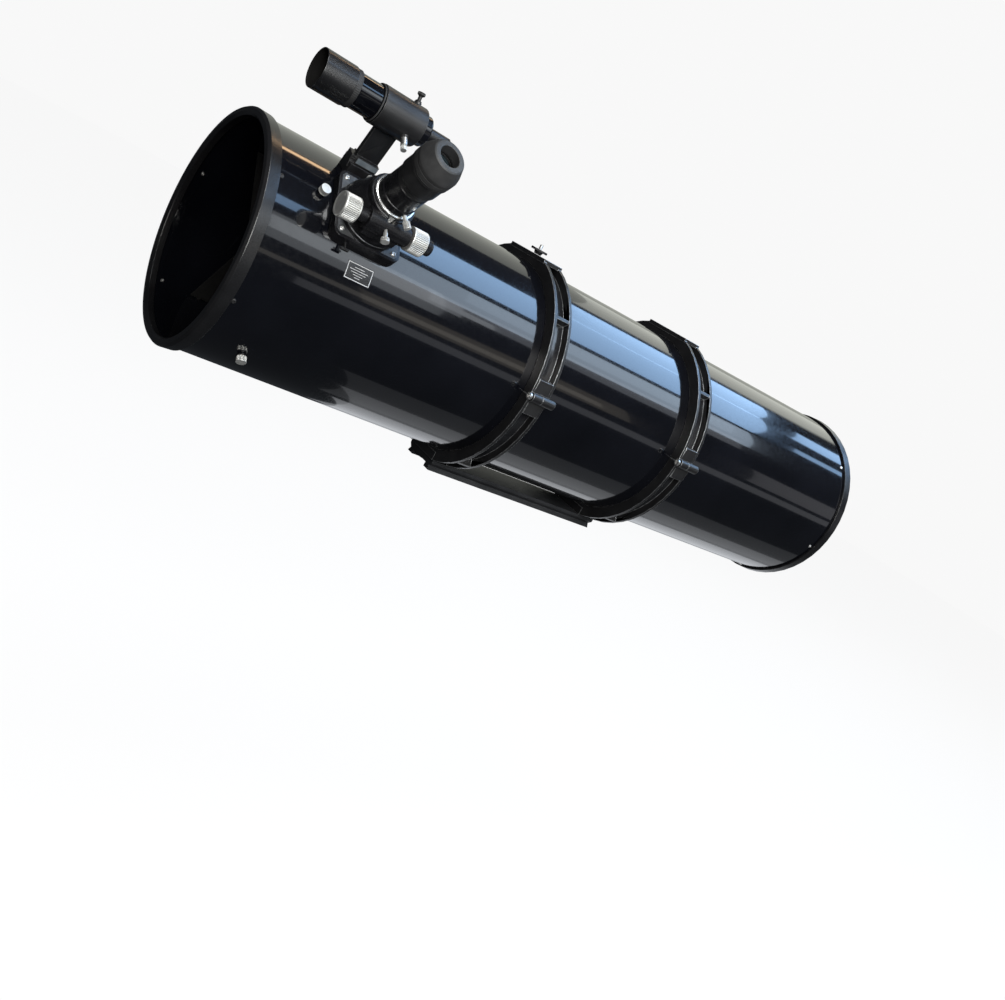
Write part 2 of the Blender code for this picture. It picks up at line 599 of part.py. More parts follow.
def eyepiece():
    adapter = [(0.0272, 0.2922), (0.0288, 0.2905), (0.0288, 0.2624), (0.0258, 0.2624),
               (0.0258, 0.2922)]
    turned("eyepiece_adapter", FOCUSER_HOME, adapter, steps=BARREL_STEPS, kind="black_anodised")
    body = [(0.0163, 0.3475), (0.0275, 0.3475), (0.0303, 0.3315), (0.0325, 0.3312),
            (0.0325, 0.3268), (0.0310, 0.3262), (0.0310, 0.3030), (0.0288, 0.3000),
            (0.0288, 0.2926), (0.0253, 0.2926), (0.0253, 0.2250), (0.0236, 0.2250),
            (0.0236, 0.3000), (0.0150, 0.3130), (0.0150, 0.3430), (0.0163, 0.3430)]
    turned("eyepiece_body", FOCUSER_HOME, body, steps=BARREL_STEPS, kind="satin_black")
    cup = [(0.0155, 0.3660), (0.0222, 0.3660), (0.0244, 0.3645), (0.0312, 0.3500),
           (0.0328, 0.3440), (0.0328, 0.3318), (0.0307, 0.3318), (0.0280, 0.3482),
           (0.0170, 0.3482), (0.0155, 0.3520)]
    turned("eyecup", FOCUSER_HOME, cup, steps=BARREL_STEPS, kind="rubber")
    eye = [(0, 0.3470), (0.0080, 0.3466), (0.0158, 0.3452), (0.0158, 0.3434), (0, 0.3434)]
    turned("eye_lens", FOCUSER_HOME, eye, steps=BARREL_STEPS, kind="coated_glass")
    field = [(0, 0.2980), (0.0230, 0.2960), (0.0230, 0.2920), (0.0120, 0.2890), (0, 0.2880)]
    turned("field_lens", FOCUSER_HOME, field, steps=BARREL_STEPS, kind="coated_glass")


def focuser_drive():
    """Pinion shaft, two coarse knobs and the reduction knob, all on one axis."""
    line = (0, SHAFT_SIDE, SHAFT_HEIGHT)
    along = (1, 0, 0)
    rod("focus_shaft", FOCUSER_HOME, SHAFT_R, (-0.0690, *line[1:]), (0.0720, *line[1:]), SMALL_STEPS,
        "bright_steel")
    bore = SHAFT_R + GAP
    front = [(0, -0.0694), (bore, -0.0694), (bore, -0.0480), (0.0180, -0.0480),
             (0.0180, -0.0715), (0.0165, -0.0730), (0, -0.0730)]
    rear = [(bore, 0.0395), (0.0180, 0.0395), (0.0180, 0.0640), (bore, 0.0640)]
    fine = [(0, 0.0724), (bore, 0.0724), (bore, 0.0645), (0.0115, 0.0645), (0.0115, 0.0765),
            (0.0105, 0.0775), (0, 0.0775)]
    turned("coarse_knob_front", FOCUSER_HOME, front, line, along, KNOB_STEPS, "bare_aluminium")
    turned("coarse_knob_rear", FOCUSER_HOME, rear, line, along, KNOB_STEPS, "bare_aluminium")
    turned("fine_knob", FOCUSER_HOME, fine, line, along, KNOB_STEPS, "black_anodised")
    lock = [(0, 0.0682), (0.0062, 0.0682), (0.0062, 0.0620), (0.0032, 0.0610),
            (0.0032, 0.0525), (0.0022, 0.0525), (0.0022, 0.0350), (0, 0.0350)]
    turned("draw_lock_screw", FOCUSER_HOME, lock, (LOCK_X, 0, LOCK_HEIGHT), (0, -1, 0), SCREW_STEPS,
           "bare_aluminium")


# ---------------------------------------------------------------- finder
def across_finder(angle, radius, station=0.0):
    """A point beside the finder's axis, the angle measured from its sideways direction."""
    a = math.radians(angle)
    return Vector((station, radius * math.cos(a), radius * math.sin(a)))


def finder_optics():
    along = (1, 0, 0)
    cell = [(0.0283, 0.0160), (0.0283, 0.0645), (0.0254, 0.0645), (0.0254, 0.0530),
            (0.0235, 0.0530), (0.0235, 0.0505), (0.0259, 0.0505), (0.0264, 0.0160)]
    turned("finder_objective_cell", FINDER_HOME, cell, axis=along, steps=BARREL_STEPS, kind="satin_black")
    lens = [(0, 0.0522), (0.0130, 0.0514), (0.0228, 0.0500), (0.0256, 0.0499), (0.0256, 0.0462),
            (0.0130, 0.0442), (0, 0.0436)]
    turned("finder_objective_lens", FINDER_HOME, lens, axis=along, steps=BARREL_STEPS, kind="coated_glass")
    lock = [(0.0270, 0.0649), (0.0270, 0.0730), (0.0253, 0.0730), (0.0253, 0.0649)]
    turned("finder_lock_ring", FINDER_HOME, lock, axis=along, steps=BARREL_STEPS, kind="satin_black")
    tube = [(0.0250, 0.0536), (0.0250, 0.1165), (0.0225, 0.1195), (0.0225, 0.1957),
            (0.0104, 0.1957), (0.0104, 0.1910), (0.0208, 0.1880), (0.0208, 0.1200),
            (0.0234, 0.1160), (0.0234, 0.0536)]
    turned("finder_tube", FINDER_HOME, tube, axis=along, steps=BARREL_STEPS, kind="gloss_black_paint")
    eyepiece_tube = [(0.0100, 0.1860), (0.0100, 0.2350), (0.0090, 0.2360), (0.0074, 0.2360),
                     (0.0074, 0.1860)]
    turned("finder_eyepiece", FINDER_HOME, eyepiece_tube, axis=along, steps=BARREL_STEPS,
           kind="satin_black")
    section = 0.0013
    ring = [(0.0267 + section * math.cos(a), TILT_STATION + section * math.sin(a))
            for a in (math.pi * i / 3 for i in range(6))]
    turned("finder_rubber_ring", FINDER_HOME, ring, axis=along, steps=BARREL_STEPS, kind="rubber")


def finder_bracket():
    sleeve = [(0.0288, 0.1115), (0.0288, 0.1820), (0.0265, 0.1820), (0.0265, 0.1115)]
    bracket = turned("finder_bracket", FINDER_HOME, sleeve, axis=(1, 0, 0), steps=BARREL_STEPS,
                     kind="satin_black")
    places = [(angle, SCREW_STATION) for angle in SCREW_ANGLES.values()]
    for angle, station in (*places, (PLUNGER_ANGLE, PLUNGER_STATION)):
        join(bracket, rod("screw_boss", FINDER_HOME, 0.0056, across_finder(angle, 0.0272, station),
                          across_finder(angle, 0.0312, station), SMALL_STEPS))
    join(bracket, block("stalk", SHOE_HOME, (0.129, -0.005, 0.2090), (0.165, 0.005, 0.2584)))
    join(bracket, block("foot", SHOE_HOME, (0.130, -0.0135, 0.1990), (0.166, 0.0135, 0.2095)))
    join(bracket, block("grip", SHOE_HOME, (0.1215, -0.0100, 0.1994), (0.1305, 0.0100, 0.2085)))
    rail = [(-0.0136, 0.1902), (0.0136, 0.1902), (0.0114, 0.1996), (-0.0114, 0.1996)]
    join(bracket, outlined("rail", SHOE_HOME, rail, 0.1220, 0.1655))
    for angle in SCREW_ANGLES.values():
        cut(bracket, rod("screw_hole", FINDER_HOME, 0.0024,
                         across_finder(angle, 0.0200, SCREW_STATION),
                         across_finder(angle, 0.0400, SCREW_STATION), SCREW_STEPS))
    cut(bracket, rod("plunger_hole", FINDER_HOME, 0.0041,
                     across_finder(PLUNGER_ANGLE, 0.0200, PLUNGER_STATION),
                     across_finder(PLUNGER_ANGLE, 0.0400, PLUNGER_STATION), SMALL_STEPS))


def finder_screws():
    screw = [(0, 0.0448), (0.0058, 0.0448), (0.0058, 0.0412), (0.0028, 0.0390), (0.0028, 0.0335),
             (0.0046, 0.0328), (0.0046, 0.0316), (0.0020, 0.0316), (0.0020, 0.0241), (0, 0.0241)]
    for label, angle in SCREW_ANGLES.items():
        turned(f"finder_adjust_screw_{label}", FINDER_HOME, screw, (SCREW_STATION, 0, 0),
               across_finder(angle, 1), SCREW_STEPS, "satin_black")
    housing = [(0.0050, 0.0435), (0.0050, 0.0316), (0.0037, 0.0316), (0.0037, 0.0275),
               (0.0026, 0.0275), (0.0026, 0.0435)]
    plunger = [(0, 0.0520), (0.0044, 0.0520), (0.0044, 0.0450), (0.0022, 0.0445),
               (0.0022, 0.0252), (0.0012, 0.0241), (0, 0.0241)]
    out = across_finder(PLUNGER_ANGLE, 1)
    turned("finder_spring_housing", FINDER_HOME, housing, (PLUNGER_STATION, 0, 0), out, SMALL_STEPS,
           "bright_steel")
    turned("finder_spring_plunger", FINDER_HOME, plunger, (PLUNGER_STATION, 0, 0), out, SCREW_STEPS,
           "bare_aluminium")


def finder_shoe():
    shoe = block("finder_shoe", SHOE_HOME, (0.1240, -0.0180, 0.1720), (0.1680, 0.0180, 0.1985),
                 bevel=0.002, kind="satin_black")
    cut(shoe, rod("saddle", TUBE_HOME, TUBE_R + GAP, (0.05, 0, 0), (0.28, 0, 0), 144))
    slot = [(-0.0142, 0.1896), (0.0142, 0.1896), (0.0118, 0.1996), (-0.0118, 0.1996)]
    cut(shoe, outlined("dovetail_slot", SHOE_HOME, slot, 0.10, 0.18))
    height = 0.1940
    cut(shoe, rod("shoe_screw_hole", SHOE_HOME, 0.0026, (SHOE_SCREW_X, -0.03, height),
                  (SHOE_SCREW_X, -0.01, height), SCREW_STEPS))
    screw = [(0, 0.0290), (0.0050, 0.0290), (0.0050, 0.0225), (0.0036, 0.0215),
             (0.0036, 0.0194), (0.0020, 0.0194), (0.0020, 0.0148), (0, 0.0148)]
    turned("finder_shoe_screw", SHOE_HOME, screw, (SHOE_SCREW_X, 0, height), (0, -1, 0), SCREW_STEPS,
           "bare_aluminium")


# ---------------------------------------------------------------- the whole telescope
def build():
    main_tube()
    front_end_ring()
    rear_cell_frame()
    spider()
    spider_nuts()
    secondary()
    primary_mirror()
    mirror_cell()
    collimation_hardware()
    cradle()
    dovetail_plate()
    focuser_base()
    focuser_body()
    drawtube()
    eyepiece()
    focuser_drive()
    finder_optics()
    finder_bracket()
    finder_screws()
    finder_shoe()
    settle()


build()
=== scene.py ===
"""Looks of a newtonian reflector telescope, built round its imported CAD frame."""

import math

import bmesh
import bpy
from mathutils import Matrix, Vector


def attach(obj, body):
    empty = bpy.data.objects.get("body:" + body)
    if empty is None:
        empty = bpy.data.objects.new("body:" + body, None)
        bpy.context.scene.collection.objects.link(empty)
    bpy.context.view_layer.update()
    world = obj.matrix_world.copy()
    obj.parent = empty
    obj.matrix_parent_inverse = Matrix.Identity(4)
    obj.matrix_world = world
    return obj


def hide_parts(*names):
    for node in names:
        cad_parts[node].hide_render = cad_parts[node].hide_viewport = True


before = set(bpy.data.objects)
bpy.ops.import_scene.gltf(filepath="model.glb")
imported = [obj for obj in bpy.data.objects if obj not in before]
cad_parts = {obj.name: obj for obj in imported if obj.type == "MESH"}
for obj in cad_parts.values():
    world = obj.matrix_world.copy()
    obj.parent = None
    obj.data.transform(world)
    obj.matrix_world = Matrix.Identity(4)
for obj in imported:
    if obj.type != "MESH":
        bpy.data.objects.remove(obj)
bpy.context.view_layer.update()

# ---------------------------------------------------------------- sizes shared by several pieces, in metres
AXIS_HEIGHT = 0.215
MIDDLE_STATION = 0.718
TUBE_R = 0.178
TUBE_INNER_R = 0.1768
END_RING_SCREWS = {"front": 0.026, "rear": 1.381}     # stations
SPIDER_STATION = 0.088
SPIDER_ANGLES = (45, 135, 225, 315)
SECONDARY_SCREW_R = 0.014
SPOKE_ANGLES = (90, 210, 330)
COLLIMATION_R, CELL_LOCK_R = 0.118, 0.084
RING_STATIONS = {"front": 0.514, "rear": 0.877}
RING_WIDTH = 0.039
HINGE_Y, CLAMP_Y = -0.203, 0.217
FOCUSER_STATION, FOCUSER_ANGLE = 0.162, 43
PINION_AXIS = (0, -0.036, 0.228)                      # in the focuser's frame
SHOE_ANGLE = 69
FINDER_AXIS_R = 0.2855
ADJUST_STATION, ADJUST_ANGLES = 0.168, {"a": 62, "b": -62}
PLUNGER_STATION, PLUNGER_ANGLE = 0.162, 205
FINE, ROUND, SMALL = 288, 96, 48     # steps of large, middling and small turned pieces

along_x = Vector((1, 0, 0))
tube_home = Matrix.Translation((-MIDDLE_STATION, 0, AXIS_HEIGHT))


def radial_home(station, angle):
    """A frame on the tube's axis: X along the tube, Z out at this angle up from the -Y side."""
    a = math.radians(angle)
    turn = Matrix(((1, 0, 0), (0, math.sin(a), -math.cos(a)), (0, math.cos(a), math.sin(a))))
    return tube_home @ Matrix.Translation((station, 0, 0)) @ turn.to_4x4()


focuser_home = radial_home(FOCUSER_STATION, FOCUSER_ANGLE)
shoe_home = radial_home(0, SHOE_ANGLE)
finder_home = shoe_home @ Matrix.Translation((0, 0, FINDER_AXIS_R))


def polar(radius, angle, station=0.0):
    """A point round the tube's axis, at this angle up from the -Y side."""
    a = math.radians(angle)
    return Vector((station, -radius * math.cos(a), radius * math.sin(a)))


def across(angle, radius=1.0):
    """A direction beside the finder's axis."""
    a = math.radians(angle)
    return Vector((0, radius * math.cos(a), radius * math.sin(a)))


# ---------------------------------------------------------------- materials
def mix_colour(tree, factor, low, high):
    node = tree.nodes.new("ShaderNodeMix")
    node.data_type = "RGBA"
    node.inputs["A"].default_value = (*low, 1)
    node.inputs["B"].default_value = (*high, 1)
    tree.links.new(factor, node.inputs["Factor"])
    return node.outputs["Result"]


def noise(tree, scale, detail=3.0, stretch=(1, 1, 1), low=0.35, high=0.65):
    """Noise in the piece's own space, spread so that it runs from 0 to 1."""
    coords = tree.nodes.new("ShaderNodeTexCoord")
    mapping = tree.nodes.new("ShaderNodeMapping")
    mapping.inputs["Scale"].default_value = stretch
    texture = tree.nodes.new("ShaderNodeTexNoise")
    texture.inputs["Scale"].default_value = scale
    texture.inputs["Detail"].default_value = detail
    spread = tree.nodes.new("ShaderNodeMapRange")
    spread.inputs["From Min"].default_value = low
    spread.inputs["From Max"].default_value = high
    tree.links.new(coords.outputs["Object"], mapping.inputs["Vector"])
    tree.links.new(mapping.outputs["Vector"], texture.inputs["Vector"])
    tree.links.new(texture.outputs["Fac"], spread.inputs["Value"])
    return spread.outputs["Result"]


def spread_value(tree, factor, low, high):
    node = tree.nodes.new("ShaderNodeMapRange")
    node.inputs["To Min"].default_value = low
    node.inputs["To Max"].default_value = high
    tree.links.new(factor, node.inputs["Value"])
    return node.outputs["Result"]


def material(name, dark, light, roughness, patch=25.0, grain=900.0, bump=0.0, depth=0.0001,
             metallic=0.0, coat=0.0, coat_roughness=0.03, coat_ior=1.5, stretch=(1, 1, 1), wave=0.0):
    """Colour drifts between dark and light in patches, roughness between its two values in a finer grain.
    wave is the height of a slow unevenness, which lets reflections waver."""
    made = bpy.data.materials.new(name)
    made.use_nodes = True
    tree = made.node_tree
    shader = tree.nodes["Principled BSDF"]
    shader.inputs["Metallic"].default_value = metallic
    shader.inputs["Coat Weight"].default_value = coat
    shader.inputs["Coat Roughness"].default_value = coat_roughness
    shader.inputs["Coat IOR"].default_value = coat_ior
    tree.links.new(mix_colour(tree, noise(tree, patch, 5.0), dark, light), shader.inputs["Base Color"])
    fine = noise(tree, grain, 2.0, stretch)
    tree.links.new(spread_value(tree, fine, *roughness), shader.inputs["Roughness"])
    normal = None
    for height, strength, distance in ((fine, bump, depth),
                                       (noise(tree, 2.2, 1.0, (1, 3, 3), 0, 1), wave and 1.0, wave)):
        if strength:
            raised = tree.nodes.new("ShaderNodeBump")
            raised.inputs["Strength"].default_value = strength
            raised.inputs["Distance"].default_value = distance
            tree.links.new(height, raised.inputs["Height"])
            if normal:
                tree.links.new(normal, raised.inputs["Normal"])
            normal = raised.outputs["Normal"]
    if normal:
        tree.links.new(normal, shader.inputs["Normal"])
        if coat:
            tree.links.new(normal, shader.inputs["Coat Normal"])
    return made


LOOKS = {
    "paint": material("gloss_black_paint", (0.0022, 0.0025, 0.004), (0.0045, 0.005, 0.0075), (0.10, 0.15),
                      patch=6, grain=160, coat=1.0, coat_roughness=0.035, coat_ior=1.6, wave=0.0012),
    "enamel": material("satin_black_enamel", (0.006, 0.006, 0.007), (0.012, 0.012, 0.013), (0.26, 0.33),
                       patch=20, grain=1200, bump=0.03, coat=0.5, coat_roughness=0.20),
    "inside": material("flat_black_inside", (0.003, 0.003, 0.003), (0.007, 0.007, 0.007), (0.8, 0.97),
                       patch=40, grain=1500, bump=0.3),
    "cast": material("satin_black_powder_coat", (0.010, 0.010, 0.011), (0.018, 0.018, 0.019), (0.30, 0.46),
                     patch=30, grain=1500, bump=0.22, coat=0.35, coat_roughness=0.17),
    "pocket": material("smooth_black_pocket", (0.010, 0.010, 0.012), (0.019, 0.020, 0.022), (0.16, 0.26),
                       patch=40, grain=900, bump=0.12, coat=1.0, coat_roughness=0.09, coat_ior=1.6),
    "edge": material("worn_black_edge", (0.030, 0.030, 0.031), (0.075, 0.075, 0.076), (0.24, 0.40),
                     patch=180, grain=1200, bump=0.1, metallic=0.2),
    # Pale metal for the ring halves' bevelled edges: partly wear, partly a painted highlight along edges that
    # catch the light.
    "worn_edge_and_highlight": material("worn_edge_and_painted_highlight", (0.20, 0.205, 0.21), (0.48, 0.49, 0.50), (0.22, 0.36),
                            patch=150, grain=1200, bump=0.1, metallic=0.7),
    "plate": material("satin_charcoal_plate", (0.015, 0.016, 0.018), (0.026, 0.027, 0.030), (0.34, 0.5),
                      patch=20, grain=1300, bump=0.18),
    "anodised": material("black_anodised", (0.010, 0.010, 0.012), (0.018, 0.018, 0.020), (0.20, 0.32),
                         patch=60, grain=1400, bump=0.08, metallic=0.25),
    "recess": material("grey_anodised_recess", (0.085, 0.090, 0.095), (0.135, 0.140, 0.145), (0.34, 0.48),
                       patch=120, grain=1600, bump=0.15, metallic=0.7),
    # Blue-grey for a strip on the bracket's foot: a painted highlight, the sky light caught on the foot's
    # side.
    "facing": material("painted_highlight_blue_grey", (0.20, 0.24, 0.27), (0.27, 0.31, 0.34), (0.30, 0.44),
                       patch=120, grain=1600, bump=0.15, metallic=0.3),
    "aluminium": material("turned_aluminium", (0.76, 0.76, 0.73), (0.88, 0.88, 0.85), (0.34, 0.50),
                          patch=90, grain=900, bump=0.10, metallic=0.75, stretch=(4, 1, 1)),
    # Dark metal for the floors between grip ridges: painted shade, where the ridges would shade the grooves.
    "groove": material("grip_grooves", (0.07, 0.07, 0.07), (0.13, 0.13, 0.125), (0.40, 0.56),
                       patch=200, grain=900, bump=0.10, metallic=0.6),
    "steel": material("bright_steel", (0.66, 0.66, 0.65), (0.82, 0.82, 0.80), (0.20, 0.34),
                      patch=140, grain=900, bump=0.05, metallic=0.9),
    "plastic": material("black_plastic", (0.012, 0.012, 0.013), (0.020, 0.020, 0.021), (0.38, 0.55),
                        patch=70, grain=1700, bump=0.25),
    "rubber": material("grey_black_rubber", (0.026, 0.026, 0.027), (0.042, 0.042, 0.043), (0.62, 0.80),
                       patch=50, grain=1400, bump=0.35),
    "cup_face": material("worn_rubber_face", (0.036, 0.038, 0.040), (0.056, 0.058, 0.060), (0.5, 0.68),
                         patch=60, grain=1400, bump=0.3),
    "band": material("ribbed_matt_band", (0.013, 0.013, 0.014), (0.022, 0.022, 0.023), (0.45, 0.60),
                     patch=60, grain=1500, bump=0.3),
    "mirror": material("mirror_coating", (0.88, 0.89, 0.90), (0.93, 0.94, 0.95), (0.004, 0.02),
                       patch=8, grain=60, metallic=1.0),
    "ground": material("ground_glass_edge", (0.30, 0.37, 0.36), (0.40, 0.47, 0.45), (0.45, 0.6),
                       patch=40, grain=1200, bump=0.2),
    "dark_lens": material("dark_coated_glass", (0.012, 0.020, 0.026), (0.020, 0.032, 0.038), (0.02, 0.05),
                          patch=30, grain=200, coat=1.0),
    "print": material("printed_label", (0.55, 0.56, 0.57), (0.68, 0.69, 0.70), (0.35, 0.5),
                      patch=200, grain=900),
    "label": material("black_label", (0.020, 0.021, 0.023), (0.034, 0.035, 0.038), (0.22, 0.3),
                      patch=60, grain=900),
}


# ---------------------------------------------------------------- making pieces
def mesh_from(bm, name):
    """Turn the built form into a mesh and let go of it."""
    mesh = bpy.data.meshes.new(name)
    bm.to_mesh(mesh)
    bm.free()
    return mesh


def piece(name, mesh, body, look, replaces=(), sharp=38):
    """Hang a mesh on a body. Edges above the sharp angle, in degrees, stay hard."""
    obj = bpy.data.objects.new(name, mesh)
    bpy.context.scene.collection.objects.link(obj)
    for key in [look] if isinstance(look, str) else look:
        mesh.materials.append(LOOKS[key])
    mesh.shade_smooth()
    mesh.set_sharp_from_angle(angle=math.radians(sharp))
    weighted = obj.modifiers.new("even_normals", "WEIGHTED_NORMAL")
    weighted.keep_sharp = True
    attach(obj, body)
    if replaces:
        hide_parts(*replaces)
    return obj


def axis_frame(home, at, axis):
    """A frame at a point of home, with its Z along this direction of home."""
    z = Vector(axis).normalized()
    x = z.orthogonal().normalized() if abs(z.x) > 0.9 else (along_x - z * z.x).normalized()
    y = z.cross(x)
    turn = Matrix((x, y, z)).transposed().to_4x4()
    return home @ Matrix.Translation(at) @ turn


def rounded(profile, radius, closed):
    """Each clear corner of a profile becomes a small arc of three points."""
    count, out = len(profile), []
    for i, point in enumerate(profile):
        if not closed and i in (0, count - 1):
            out.append(point)
            continue
        p, before, after = (Vector(profile[k % count]) for k in (i, i - 1, i + 1))
        into, away = p - before, after - p
        if into.length < 1e-7 or away.length < 1e-7 or into.angle(away) < math.radians(24):
            out.append(point)
            continue
        reach = min(radius, 0.4 * into.length, 0.4 * away.length)
        a, b = p - into.normalized() * reach, p + away.normalized() * reach
        out += [tuple(a), tuple(a * 0.25 + p * 0.5 + b * 0.25), tuple(b)]
    return out


def with_stops(points, closed, least_r, stops):
    """The profile with extra points where its widest stretches pass the given heights."""
    out = []
    for i, (r, h) in enumerate(points):
        out.append((r, h))
        if i + 1 == len(points) and not closed:
            break
        r2, h2 = points[(i + 1) % len(points)]
        if min(r, r2) > least_r:
            inside = [s for s in stops if min(h, h2) + 1e-6 < s < max(h, h2) - 1e-6]
            out += [(r + (r2 - r) * (s - h) / (h2 - h), s) for s in sorted(inside, reverse=h2 < h)]
    return out


def turned_mesh(name, home, profile, at=(0, 0, 0), axis=(0, 0, 1), steps=ROUND, edge=0.0004,
                grip=None, second=None, groove=None):
    """Turn (radius, height) points round an axis. A loop off the axis closes on itself.
    grip is (count, depth, low, high, lobed): ridges where the height lies between low and high.
    The last argument numbers a darker material for the floors between the ridges, which paints shade into
    them.
    second is a test of (radius, height) for the faces that take the second material."""
    closed = profile[0][0] > 0
    area = sum(r0 * h1 - r1 * h0 for (r0, h0), (r1, h1) in zip(profile, profile[1:] + profile[:1]))
    if area < 0:
        profile = profile[::-1]
    points = rounded(profile, edge, closed)
    if grip:
        count, depth, low, high, lobed = grip
        steps = count * (10 if lobed else 4)
    widest = max(r for r, _ in points)
    if grip:
        least_r = widest - 2.2 * depth
        points = with_stops(points, closed, least_r, (low - 0.3 * depth, low, high, high + 0.3 * depth))
    place = axis_frame(home, at, axis)
    bm = bmesh.new()
    rings = []
    for r, h in points:
        if r < 1e-7:
            rings.append([bm.verts.new(place @ Vector((0, 0, h)))] * steps)
            continue
        ring = []
        for k in range(steps):
            radius = r
            if grip and low - 1e-7 <= h <= high + 1e-7 and r > least_r:
                wave = 0.5 - 0.5 * math.cos(math.tau * count * k / steps) if lobed else k % 4 // 2
                radius = min(r, widest - depth * wave)
            a = math.tau * k / steps
            ring.append(bm.verts.new(place @ Vector((radius * math.cos(a), radius * math.sin(a), h))))
        rings.append(ring)
    pairs = list(zip(range(len(points)), range(1, len(points))))
    if closed:
        pairs.append((len(points) - 1, 0))
    for i, j in pairs:
        middle = [(points[i][n] + points[j][n]) / 2 for n in (0, 1)]
        for k in range(steps):
            m = (k + 1) % steps
            corners = []
            for v in (rings[i][k], rings[i][m], rings[j][m], rings[j][k]):
                if v not in corners:
                    corners.append(v)
            if len(corners) > 2:
                face = bm.faces.new(corners)
                face.material_index = 1 if second and second(*middle) else 0
                # Floors between the ridges get the darker material: painted shade in the grooves.
                if groove and k % 4 == 2 and low < middle[1] < high and middle[0] > least_r:
                    face.material_index = groove
    bmesh.ops.recalc_face_normals(bm, faces=bm.faces)
    return mesh_from(bm, name)


def turned(name, body, look, home, profile, replaces=(), slot=None, sharp=38, **how):
    return piece(name, turned_mesh(name, home, profile, **how), body, look, replaces, sharp)


def dressed(node, body, look, bevel=0.0005, edges="edge", pocket_r=None):
    """The CAD node's own form with softened edges, which are a little worn; on the ring halves they are also
    pale as a painted highlight.
    Faces at pocket_r from the tube's axis are the floors of cast pockets."""
    bm = bmesh.new()
    bm.from_mesh(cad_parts[node].data)
    bmesh.ops.remove_doubles(bm, verts=bm.verts, dist=1e-6)
    bmesh.ops.dissolve_limit(bm, angle_limit=math.radians(0.5), verts=bm.verts, edges=bm.edges)
    for face in bm.faces:
        middle = face.calc_center_median() - Vector((0, 0, AXIS_HEIGHT))
        radius = math.hypot(middle.y, middle.z)
        face.material_index = 2 if pocket_r and abs(face.normal.x) < 0.5 and radius < pocket_r else 0
    sharp = [e for e in bm.edges if len(e.link_faces) == 2 and e.calc_face_angle(0) > math.radians(30)]
    if bevel:
        bmesh.ops.bevel(bm, geom=sharp, offset=bevel, offset_type="OFFSET", segments=2, profile=0.5,
                        affect="EDGES", clamp_overlap=False, loop_slide=True, material=1)
    bmesh.ops.triangulate(bm, faces=[f for f in bm.faces if len(f.verts) > 4])
    looks = [look, edges, "pocket"] if pocket_r else [look, edges]
    return piece(node + "_finished", mesh_from(bm, node + "_finished"), body, looks, (node,))


def prism(name, body, look, home, outline, low, high, axis="z", edge=0.0004):
    """A flat outline drawn out between two heights along an axis of home, with softened edges."""
    place = {"z": lambda p, h: (p[0], p[1], h), "x": lambda p, h: (h, p[0], p[1]),
             "y": lambda p, h: (p[0], h, p[1])}[axis]
    bm = bmesh.new()
    ends = [[bm.verts.new(home @ Vector(place(p, h))) for p in outline] for h in (low, high)]
    bm.faces.new(ends[0])
    bm.faces.new(ends[1])
    for i in range(len(outline)):
        j = (i + 1) % len(outline)
        bm.faces.new((ends[0][i], ends[0][j], ends[1][j], ends[1][i]))
    bmesh.ops.recalc_face_normals(bm, faces=bm.faces)
    if edge:
        sharp = [e for e in bm.edges if e.calc_face_angle(0) > math.radians(30)]
        bmesh.ops.bevel(bm, geom=sharp, offset=edge, segments=2, profile=0.5, affect="EDGES",
                        clamp_overlap=True)
    bmesh.ops.triangulate(bm, faces=[f for f in bm.faces if len(f.verts) > 4])
    return piece(name, mesh_from(bm, name), body, look)


def round_outline(half_x, half_y, corner=0.0, centre=(0, 0), steps=5):
    """A rectangle's outline with rounded corners."""
    points = []
    for sx, sy, start in ((1, 1, 0), (-1, 1, 90), (-1, -1, 180), (1, -1, 270)):
        for k in range(steps + 1 if corner else 1):
            a = math.radians(start + 90 * k / steps)
            points.append((centre[0] + sx * (half_x - corner) + corner * math.cos(a),
                           centre[1] + sy * (half_y - corner) + corner * math.sin(a)))
    return points


def pan_head(name, body, home, at, out, radius=0.0036, height=0.0018, look="steel", socket=0.45, seat=0.0006):
    """A screw head with a round socket, sunk a little into what it holds."""
    r = radius * socket
    profile = [(0, height * 0.35), (r, height * 0.35), (r, height), (radius * 0.72, height),
               (radius, height * 0.45), (radius, -seat), (0, -seat)]
    return turned(name, body, look, home, profile, at=at, axis=out, steps=28, edge=0.0003)


def hex_outline(radius, centre):
    return [(centre[0] + radius * math.cos(math.radians(60 * k)),
             centre[1] + radius * math.sin(math.radians(60 * k))) for k in range(6)]


def coil(name, body, look, home, radius, length, turns, wire, at, axis, replaces):
    """A spring of round wire. wire is the wire's radius, and each turn has 24 steps."""
    place = axis_frame(home, at, axis)
    count, sides = int(turns * 24) + 1, 10
    bm = bmesh.new()
    rings = []
    for i in range(count):
        a, h = math.tau * i / 24, length * i / (count - 1)
        centre = Vector((radius * math.cos(a), radius * math.sin(a), h))
        outward = Vector((math.cos(a), math.sin(a), 0))
        forward = Vector((-math.sin(a) * radius * math.tau, math.cos(a) * radius * math.tau,
                          length / turns)).normalized()
        up = forward.cross(outward)
        rings.append([bm.verts.new(place @ (centre + wire * (outward * math.cos(b) + up * math.sin(b))))
                      for b in (math.tau * k / sides for k in range(sides))])
    for first, then in zip(rings, rings[1:]):
        for k in range(sides):
            m = (k + 1) % sides
            bm.faces.new((first[k], first[m], then[m], then[k]))
    bm.faces.new(rings[0])
    bm.faces.new(rings[-1])
    bmesh.ops.recalc_face_normals(bm, faces=bm.faces)
    return piece(name, mesh_from(bm, name), body, look, replaces)


